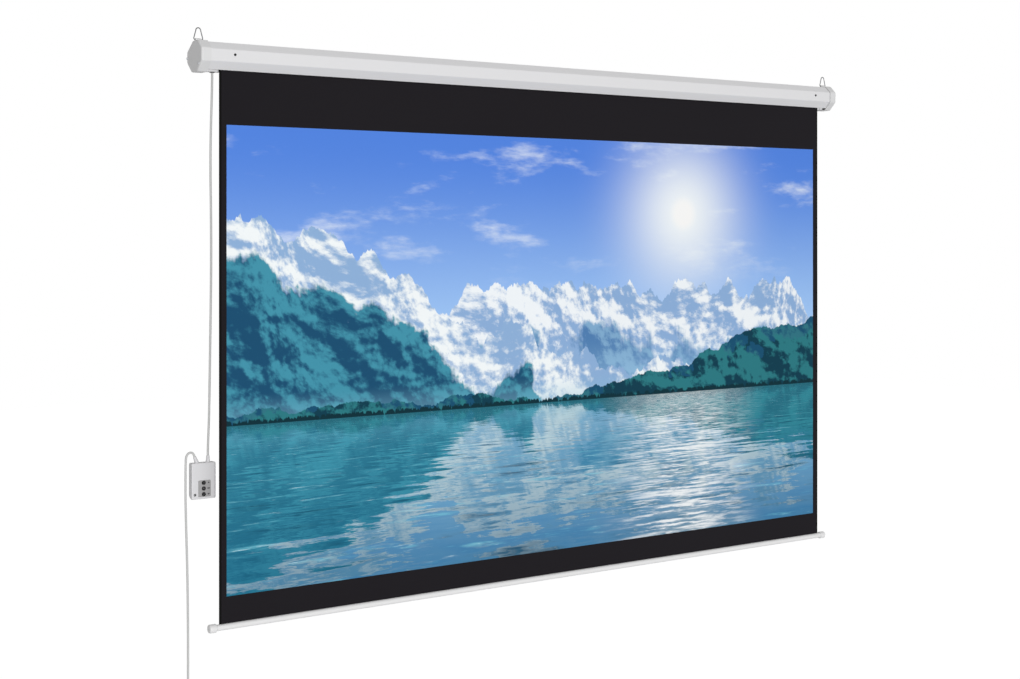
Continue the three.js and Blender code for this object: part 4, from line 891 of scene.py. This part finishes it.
# Cloth, wound cloth, hem and bottom bar

CLOTH_WAVE = 0.0003
WOUND_TURNS = 2.5
WOUND_STEPS = 120
WOUND_START = 0.02265
WOUND_END = 0.02375
WOUND_THICKNESS = 0.0002
HEM_STEPS = 20
BAR_CAP_PROFILE = mm([
    (0, 18), (8.7, 18), (8.7, 0.3), (9.1, 0), (9.9, 0), (10.5, 0.5), (11.4, 1.8), (11.5, 2.4), (11.5, 17),
    (11.35, 18.6), (10.8, 19.8), (9.9, 20.6), (8.8, 21), (0, 21),
])


def add_cloth():
    """The hanging cloth: flat, with the faintest wave between its roller and its bar."""
    bm = bmesh.new()
    bmesh.ops.create_grid(bm, x_segments=96, y_segments=64, size=0.5)
    bmesh.ops.scale(bm, verts=bm.verts, vec=(2 * CLOTH_HALF, CLOTH_DROP, 1.0))
    bmesh.ops.rotate(bm, verts=bm.verts, cent=(0, 0, 0), matrix=Matrix.Rotation(math.radians(90), 3, "X"))
    move(bm, bm.verts, (0, CLOTH_Y - CLOTH_THICKNESS / 2, -CLOTH_DROP / 2))
    for vert in bm.verts:
        x, _, z = vert.co
        hang = math.sin(math.pi * min(max(-z / CLOTH_DROP, 0.0), 1.0)) ** 0.7
        wave = math.sin(x * 5.3 + z * 1.7) + 0.6 * math.sin(x * 11.9 - z * 2.3 + 1.0)
        vert.co.y += CLOTH_WAVE * hang * wave
    bm.faces.ensure_lookup_table()
    behind = (0, 1, 0)
    look_away(bm, bm.faces[0], behind)
    finish_words = ["picture_fabric", "black_fabric"]
    cloth = sheet("picture_cloth", bm, finish_words, ["screen_fabric"], CLOTH_THICKNESS, -1.0)
    coating = cloth.modifiers["wall"]
    coating.material_offset = 1
    coating.material_offset_rim = 1
    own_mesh(cloth)
    return cloth


def add_wound_cloth():
    """The rest of the cloth, wound on its roller in a spiral of two and a half turns."""
    bm = bmesh.new()
    points = []
    for share in (k / WOUND_STEPS for k in range(WOUND_STEPS + 1)):
        radius = WOUND_START + (WOUND_END - WOUND_START) * share
        angle = math.tau * WOUND_TURNS * share
        points.append((ROLLER_Y + radius * math.cos(angle), radius * math.sin(angle)))
    strip(bm, points, CLOTH_HALF)
    look_away(bm, bm.faces[-1], (0, ROLLER_Y, 0))
    return sheet("wound_cloth", bm, "black_fabric", ["fabric_wrap"], WOUND_THICKNESS, 0.0, "roller")


def add_hem():
    """The hem: a strip that drops through the bar's slot and goes round the rod."""
    bm = bmesh.new()
    points = [(CLOTH_Y, HEM_TOP), (CLOTH_Y, BAR_Z + 0.0050)]
    for angle in (math.tau * k / HEM_STEPS for k in range(1, HEM_STEPS)):
        points.append((CLOTH_Y + HEM_RADIUS * math.sin(angle), BAR_Z + HEM_RADIUS * math.cos(angle)))
    points.append((CLOTH_Y + CLOTH_THICKNESS, BAR_Z + 0.0048))
    strip(bm, points, CLOTH_HALF)
    return sheet("bar_hem", bm, "black_fabric", ["fabric_hem"], CLOTH_THICKNESS, 0.0, "bottom_bar")


def add_bar():
    """The bottom bar: a round tube open along its top, with a stepped cap on each end."""
    bm = bmesh.new()
    gap = math.asin(BAR_GAP / 2 / BAR_RADIUS)
    beside_gap = (-BAR_HALF, CLOTH_Y + BAR_RADIUS * math.sin(gap), BAR_Z + BAR_RADIUS * math.cos(gap))
    bmesh.ops.spin(
        bm, geom=[bm.verts.new(beside_gap)], cent=(-BAR_HALF, CLOTH_Y, BAR_Z), axis=(-1, 0, 0),
        dvec=(0, 0, 0), angle=math.tau - 2 * gap, steps=44, use_merge=False,
    )
    swept(bm, list(bm.edges), (2 * BAR_HALF, 0, 0))
    bm.faces.ensure_lookup_table()
    look_away(bm, bm.faces[10], (0, CLOTH_Y, BAR_Z))
    sheet("bar_profile", bm, "bar_paint", ["bar_tube"], BAR_WALL, -1.0, "bottom_bar")
    for word, side in SIDES.items():
        spun(
            "bar_end_" + word, BAR_CAP_PROFILE, (side * BAR_CAP_START, CLOTH_Y, BAR_Z), (side, 0, 0),
            "bar_paint", ["bar_cap_" + word], "bottom_bar", 56,
        )


cloth_piece = add_cloth()
wound_piece = add_wound_cloth()
hem_piece = add_hem()
add_bar()


# Control box

BOX_SPLIT = -0.003
BASE_FRONT = BOX_SPLIT + SEAM
COVER_HOLLOW = 0.0134
BASE_HOLLOW = 0.0012
BOX_CORNER = 0.0035
PANEL_DEPTH = 0.001
RING_PROFILE = mm([
    (4.4, 0.3), (5.7, 0.3), (5.8, 0.6), (5.6, 1), (5.2, 1.1), (4.7, 0.9), (4.4, 0.6), (4.4, 0.3),
])
PUSH_PROFILE = mm([
    (0, -5.1), (1.5, -5.1), (1.5, -3.4), (5, -3.4), (5, -2.6), (4, -2.6), (4, 0.8), (3.8, 1.25), (3.2, 1.5),
    (2.2, 1.6), (1.2, 1.55), (0, 1.4),
])
# The dot on each button's dome: a painted highlight in paler grey
HIGHLIGHT_DOT_PROFILE = mm([(0, 1.3), (1, 1.4), (1.1, 1.55), (0.9, 1.7), (0, 1.75)])
MARKS = {
    "up": mm([(-3.2, -1.9), (3.2, -1.9), (0, 2.5)]),
    "stop": mm([(-3.6, -1.4), (3.6, -1.4), (3.6, 1.4), (-3.6, 1.4)]),
    "down": mm([(-3.8, 2), (0, -2.7), (3.8, 2)]),
}
MARK_FRONT = PANEL_FRONT - 0.00012
MARK_DEPTH = 0.0003
RELIEF_FOOT = mm([(0, -3), (4.5, -3), (5.8, -1.5), (6, 0.8), (5.8, 1.8)])
RELIEF_END = mm([(4.2, 15.8), (4, 16.6), (3.6, 17), (3, 17), (0, 16.4)])
RELIEF_RIBS = 4
GROMMET_PROFILE = mm([
    (3.2, -1.7), (6.2, -1.7), (7, -1.1), (7, -0.5), (6.6, -0.1), (5, 0), (5, 1.8), (5.6, 2.4), (5, 3.2),
    (3.2, 3.2), (3.2, -1.7),
])


def cut_lower_back(bm):
    """Takes the lower back edge of the box off along its slope."""
    made = bmesh.ops.bisect_plane(
        bm, geom=[*bm.verts, *bm.edges, *bm.faces], dist=1e-7,
        plane_co=(0, -BOX_CUT_DEPTH, BOX_Z - BOX_HEIGHT / 2),
        plane_no=(0, BOX_CUT_HEIGHT, -BOX_CUT_DEPTH), clear_outer=True,
    )["geom_cut"]
    bmesh.ops.edgeloop_fill(bm, edges=only(EDGE, made))


def box_half(start, end, hollow, rounding=0.0):
    """Half of the box, hollowed from its start in Y, with the edge at its end rounded."""
    bm = bmesh.new()
    prism(bm, upright(BOX_X, start, BOX_Z, BOX_WIDTH, BOX_HEIGHT), (0, end - start, 0))
    bevel(bm, edges_along(bm, 1, 0.002), BOX_CORNER, 6)
    if rounding:
        bevel(bm, lying_at(bm.edges, 1, end), rounding, 5)
    cut_lower_back(bm)
    face_outwards(bm)
    for face in lying_at(bm.faces, 1, start):
        pocket(bm, face, BOX_WALL, hollow)
    return bm


def split_front(bm, axis, place):
    """Cuts the front face of the cover along a line."""
    faces = lying_at(bm.faces, 1, BOX_FRONT)
    edges = once_each(e for f in faces for e in f.edges)
    verts = once_each(v for f in faces for v in f.verts)
    point, normal = [0, 0, 0], [0, 0, 0]
    point[axis], normal[axis] = place, 1
    bmesh.ops.bisect_plane(bm, geom=faces + edges + verts, dist=1e-7, plane_co=point, plane_no=normal)


def add_box_cover():
    """The front of the control box: rounded, with a shallow bed for the panel."""
    bm = box_half(BOX_SPLIT, BOX_FRONT, COVER_HOLLOW, 0.002)
    for axis, middle, size in ((0, PANEL_X, PANEL_WIDTH), (2, PANEL_Z, PANEL_HEIGHT)):
        split_front(bm, axis, middle - size / 2 - SEAM)
        split_front(bm, axis, middle + size / 2 + SEAM)
    panel_place = Vector((PANEL_X, BOX_FRONT, PANEL_Z))
    front = lying_at(bm.faces, 1, BOX_FRONT)
    bed = [f for f in front if (f.calc_center_median() - panel_place).length < 0.01]
    verts, _ = drawn_out(bm, bed)
    move(bm, verts, (0, PANEL_DEPTH, 0))
    meshed("box_cover", bm, "box_plastic", ["box_front_shell"], sharp=30)


def add_panel():
    """The grey button panel: a thin plate with its upper corners cut and its edge softened."""
    bm = bmesh.new()
    outline = upright(PANEL_X, PANEL_FRONT + PANEL_DEPTH, PANEL_Z, PANEL_WIDTH, PANEL_HEIGHT)
    prism(bm, outline, (0, -PANEL_DEPTH, 0))
    corners = edges_along(bm, 1, 0.0005)
    upper = [e for e in corners if e.verts[0].co.z > PANEL_Z]
    lower = [e for e in corners if e not in upper]
    bevel(bm, upper, 0.0035, 4)
    bevel(bm, lower, 0.002, 4)
    bevel(bm, lying_at(bm.edges, 1, PANEL_FRONT), 0.0004, 3)
    meshed("switch_panel", bm, "panel_grey", ["button_panel"])


def add_button(word, row):
    """A domed push button with a painted highlight, a paler grey dot in its middle, in its own ring, with its
    mark beside it.
    """
    z = PANEL_Z + row * BUTTON_PITCH
    place = (BUTTON_X, PANEL_FRONT, z)
    spun("ring_" + word, RING_PROFILE, place, FORWARD, "black_plastic", ["bezel_" + word])
    spun("push_" + word, PUSH_PROFILE, place, FORWARD, "black_plastic", ["button_" + word], word + "_button")
    spun("dot_" + word, HIGHLIGHT_DOT_PROFILE, place, FORWARD, "button_dot", (), word + "_button", 32)
    bm = bmesh.new()
    prism(bm, [(MARK_X + x, MARK_FRONT, z + height) for x, height in MARKS[word]], (0, MARK_DEPTH, 0))
    meshed("mark_" + word, bm, "panel_ink")


def add_relief(name, x, lean, node):
    """A strain relief: a flange on the box's top and a ribbed taper that ends close round its cable."""
    foot = Vector((BOX_X + x, LEAD_Y, BOX_TOP))
    aim = Vector((-math.sin(lean), 0, math.cos(lean)))
    profile = list(RELIEF_FOOT)
    for low in (0.0022 + k * 0.0033 for k in range(RELIEF_RIBS)):
        rib = 0.0058 - 0.0019 * (low / 0.017)
        groove = rib - 0.0004
        profile += [(groove, low), (groove, low + 0.0006), (rib, low + 0.0010), (rib - 0.0001, low + 0.0027)]
    spun(name, profile + RELIEF_END, foot, aim, "box_plastic", [node], steps=40)


add_box_cover()
base = box_half(BASE_FRONT, 0.0, BASE_HOLLOW)
meshed("box_base", base, "box_plastic", ["box_back_shell"], sharp=30)
add_panel()
for row_word, row_number in (("up", 1), ("stop", 0), ("down", -1)):
    add_button(row_word, row_number)
add_relief("relief_in", 0.0162, 0.0, "strain_relief_in")
add_relief("relief_out", -0.0159, 0.38, "strain_relief_out")
add_pan_screw("box_fixing", (-1.1770, BOX_FRONT, -1.1542), FORWARD, "box_screw", "steel")
exit_place = (EXIT_X, ROLLER_Y, CASING_BOTTOM)
spun("grommet", GROMMET_PROFILE, exit_place, AXIS_Z, "black_plastic", ["lead_grommet"])


# Tie and plug

TIE_WIDTH = 0.010
TIE_SPACE = 0.0012
TIE_THICKNESS = 0.0011
TIE_TAB = 0.020
STRAND_CLEARANCE = 0.0018
PLUG_LENGTH = 0.048
PLUG_BASE = (0.027, 0.022)
PLUG_CORNER = 0.005
GRIP = (0.0200, 0.0150)
GROOVE = (0.0188, 0.0138)
GRIP_RIBS = 5
COLLAR_RIBS = 4

# Width, depth and height over the cable's entry, for each level of the plug below and above its grip
PLUG_FOOT = mm([
    (27, 22, -47.5), (27, 22, -40.5), (26.2, 21.2, -39.8), (21.5, 16.5, -37.5), (20.2, 15.2, -36),
])
PLUG_SHOULDER = mm([(20, 15, -19), (19, 14, -17.8), (15, 11.5, -16.6), (11, 9.5, -16)])
BLADE = (0.0015, 0.0063)
BLADE_X = 0.00635
BLADE_Y = 0.003
BLADE_START = -0.0483
BLADE_LENGTH = 0.017
PIN_Y = -0.007
PIN_PROFILE = mm([(0, 0), (2.4, 0), (2.4, -16.6), (2.2, -18.2), (1.6, -19.5), (0.8, -20), (0, -20)])


def add_tie():
    """The strap round the hank's waist, with its free end lapped over itself."""
    bm = bmesh.new()
    outer_strand = HANK_OUTER - HANK_WAIST + CORD_RADIUS + STRAND_CLEARANCE
    inner_strand = outer_strand - HANK_PITCH / 2
    width = outer_strand + inner_strand + TIE_SPACE
    depth = HANK_LAYER + 2 * (CORD_RADIUS + STRAND_CLEARANCE) + TIE_SPACE
    x, y, z = HANK_PLACE + Vector(((inner_strand - outer_strand) / 2, -HANK_LAYER / 2, 0))
    ring = face_of(bm, level(x, y, z, width, depth))
    bevel(bm, list(ring.verts), 0.0054, 8, "VERTICES")
    bmesh.ops.delete(bm, geom=list(bm.faces), context="FACES_ONLY")
    move(bm, bm.verts, (0, 0, -TIE_WIDTH / 2))
    swept(bm, list(bm.edges), (0, 0, TIE_WIDTH))
    tab = face_of(bm, upright(x, y - depth / 2 - TIE_SPACE, z, TIE_TAB, TIE_WIDTH))
    bevel(bm, [v for v in tab.verts if v.co.x > x], 0.003, 5, "VERTICES")
    face_outwards(bm)
    return sheet("hank_tie", bm, "strap", ["cable_tie"], TIE_THICKNESS, 0.0, sharp=50)


def plug_levels():
    """The plug's levels from its face over the ribs of its grip up to its shoulder."""
    levels = list(PLUG_FOOT)
    for low in (-0.035 + k * 0.0032 for k in range(GRIP_RIBS)):
        levels += [(*GRIP, low), (*GROOVE, low + 0.0004), (*GROOVE, low + 0.0012), (*GRIP, low + 0.0016)]
    return levels + PLUG_SHOULDER


def collar_profile():
    """The plug's strain relief, with rings that get narrower towards the cable."""
    profile = [(0.0, -0.0175), (0.0050, -0.0175), (0.0050, -0.0160)]
    for k in range(COLLAR_RIBS):
        low = -0.0152 + k * 0.0036
        rib, groove = 0.0048 - 0.0003 * k, 0.0040 - 0.0001 * k
        profile += [(rib, low), (groove, low + 0.0005), (groove, low + 0.0014), (rib - 0.0001, low + 0.0019)]
    return profile + [(0.0036, -0.0004), (0.0033, 0.0), (0.0, 0.0)]


def add_plug():
    """The moulded plug: its face, its waisted grip with ribs, and its ringed strain relief."""
    bm = bmesh.new()
    x, y, top = PLUG_TOP
    width, depth = PLUG_BASE
    face = face_of(bm, level(x, y, top - PLUG_LENGTH, width, depth))
    bevel(bm, list(face.verts), PLUG_CORNER, 5, "VERTICES")
    made = bmesh.ops.extrude_face_region(bm, geom=list(bm.faces), use_keep_orig=True)["geom"]
    current = only(FACE, made)[0]
    for k, (next_width, next_depth, height) in enumerate(plug_levels()):
        if k > 0:
            current = drawn_out(bm, [current])[1][0]
        verts = list(current.verts)
        move(bm, verts, (0, 0, top + height - verts[0].co.z))
        bmesh.ops.scale(
            bm, verts=verts, vec=(next_width / width, next_depth / depth, 1.0),
            space=Matrix.Translation((-x, -y, 0)),
        )
        width, depth = next_width, next_depth
    turned(bm, collar_profile(), PLUG_TOP, AXIS_Z, 36)
    return meshed("plug", bm, "cable_jacket", ["plug_body"], sharp=35)


def add_blade(word, side):
    bm = bmesh.new()
    x, y, z = PLUG_TOP + Vector((side * BLADE_X, BLADE_Y, BLADE_START))
    prism(bm, level(x, y, z, *BLADE), (0, 0, -BLADE_LENGTH))
    bevel(bm, lying_at(bm.edges, 2, z - BLADE_LENGTH), 0.0005, 3)
    return meshed("blade_" + word, bm, "brass", ["plug_blade_" + word])


tie_piece = add_tie()
plug_piece = add_plug()
blades = [add_blade(word, side) for word, side in SIDES.items()]
pin_place = PLUG_TOP + Vector((0, PIN_Y, BLADE_START))
earth_pin = spun("earth_pin", PIN_PROFILE, pin_place, AXIS_Z, "brass", ["plug_earth_pin"], steps=36)


# Inner pieces that keep their CAD shape, with these finishes

CAD_FINISHES = {
    "zinc_plate": ["motor_bracket", "idler_bracket"],
    "black_plastic": ["motor_head", "switch_up", "switch_stop", "switch_down"],
    "motor_case": ["motor_tube"],
    "white_screw": ["limit_screw_up"],
    "red_screw": ["limit_screw_down"],
    "nylon": ["crown_ring", "drive_wheel", "fabric_spline", "idler_plug", "hem_rod"],
    "steel": ["output_shaft", "idler_pin"],
    "aluminium": ["roller_tube"],
    "brass": ["idler_bush"],
    "board": ["circuit_board"],
    "terminal": ["terminal_block"],
}
for finish_word, node_names in CAD_FINISHES.items():
    for node_name in node_names:
        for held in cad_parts[node_name].material_slots:
            held.material = FINISHES[finish_word]


# Light, floor and background

WHITE = (1, 1, 1, 1)
FLOOR_GREY = (0.86, 0.86, 0.86, 1)
FLOOR_HALF = 12.0
FLOOR_Z = -2.2
FLOOR_GLOW = 1.18
FLOOR_GLOW_SHARE = 0.8
ROOM_LIGHT = 0.37


def seen_itself(net):
    """1 where it is seen, also in a mirror or through glass, and 0 where it lights the object."""
    ray = net.node("ShaderNodeLightPath").outputs
    return net.most(ray["Is Camera Ray"], net.most(ray["Is Glossy Ray"], ray["Is Transmission Ray"]))


def blend_into(net, output, factor, first, second):
    blend = net.node("ShaderNodeMixShader", {0: factor, 1: first.outputs[0], 2: second.outputs[0]})
    net.put(output.inputs[0], blend.outputs[0])


def add_floor():
    bm = bmesh.new()
    bmesh.ops.create_grid(bm, x_segments=1, y_segments=1, size=FLOOR_HALF)
    move(bm, bm.verts, (0, 0, FLOOR_Z))
    mesh = bpy.data.meshes.new("floor")
    bm.to_mesh(mesh)
    bm.free()
    floor = placed("floor", mesh)
    made, net, skin = shader("floor", 0.9)
    skin.inputs["Base Color"].default_value = FLOOR_GREY
    glow = net.node("ShaderNodeEmission", {"Color": WHITE, "Strength": FLOOR_GLOW})
    share = seen_itself(net) * FLOOR_GLOW_SHARE
    blend_into(net, made.node_tree.nodes["Material Output"], share, skin, glow)
    mesh.materials.append(made)


def add_world():
    world = bpy.data.worlds.new("studio")
    bpy.context.scene.world = world
    world.use_nodes = True
    net = Net(world.node_tree)
    nodes = world.node_tree.nodes
    soft = net.fill(nodes["Background"], {"Color": WHITE, "Strength": ROOM_LIGHT})
    plain = net.node("ShaderNodeBackground", {"Color": WHITE, "Strength": 1.0})
    blend_into(net, nodes["World Output"], seen_itself(net), soft, plain)


def add_lamp(name, place, target, width, height, power):
    """A wide soft lamp that isn't seen itself."""
    lamp = bpy.data.lights.new(name, "AREA")
    lamp.shape = "RECTANGLE"
    lamp.size, lamp.size_y = width, height
    lamp.energy = power
    light = placed(name, lamp)
    light.location = place
    light.rotation_mode = "QUATERNION"
    light.rotation_quaternion = (Vector(target) - Vector(place)).to_track_quat("-Z", "Y")
    light.visible_camera = False


add_floor()
add_world()
add_lamp("front_light", (-6.1, -20.0, -1.6), target=(0.0, 0.0, -0.6), width=3.0, height=1.0, power=2700.0)
bpy.context.scene.view_settings.view_transform = "Standard"
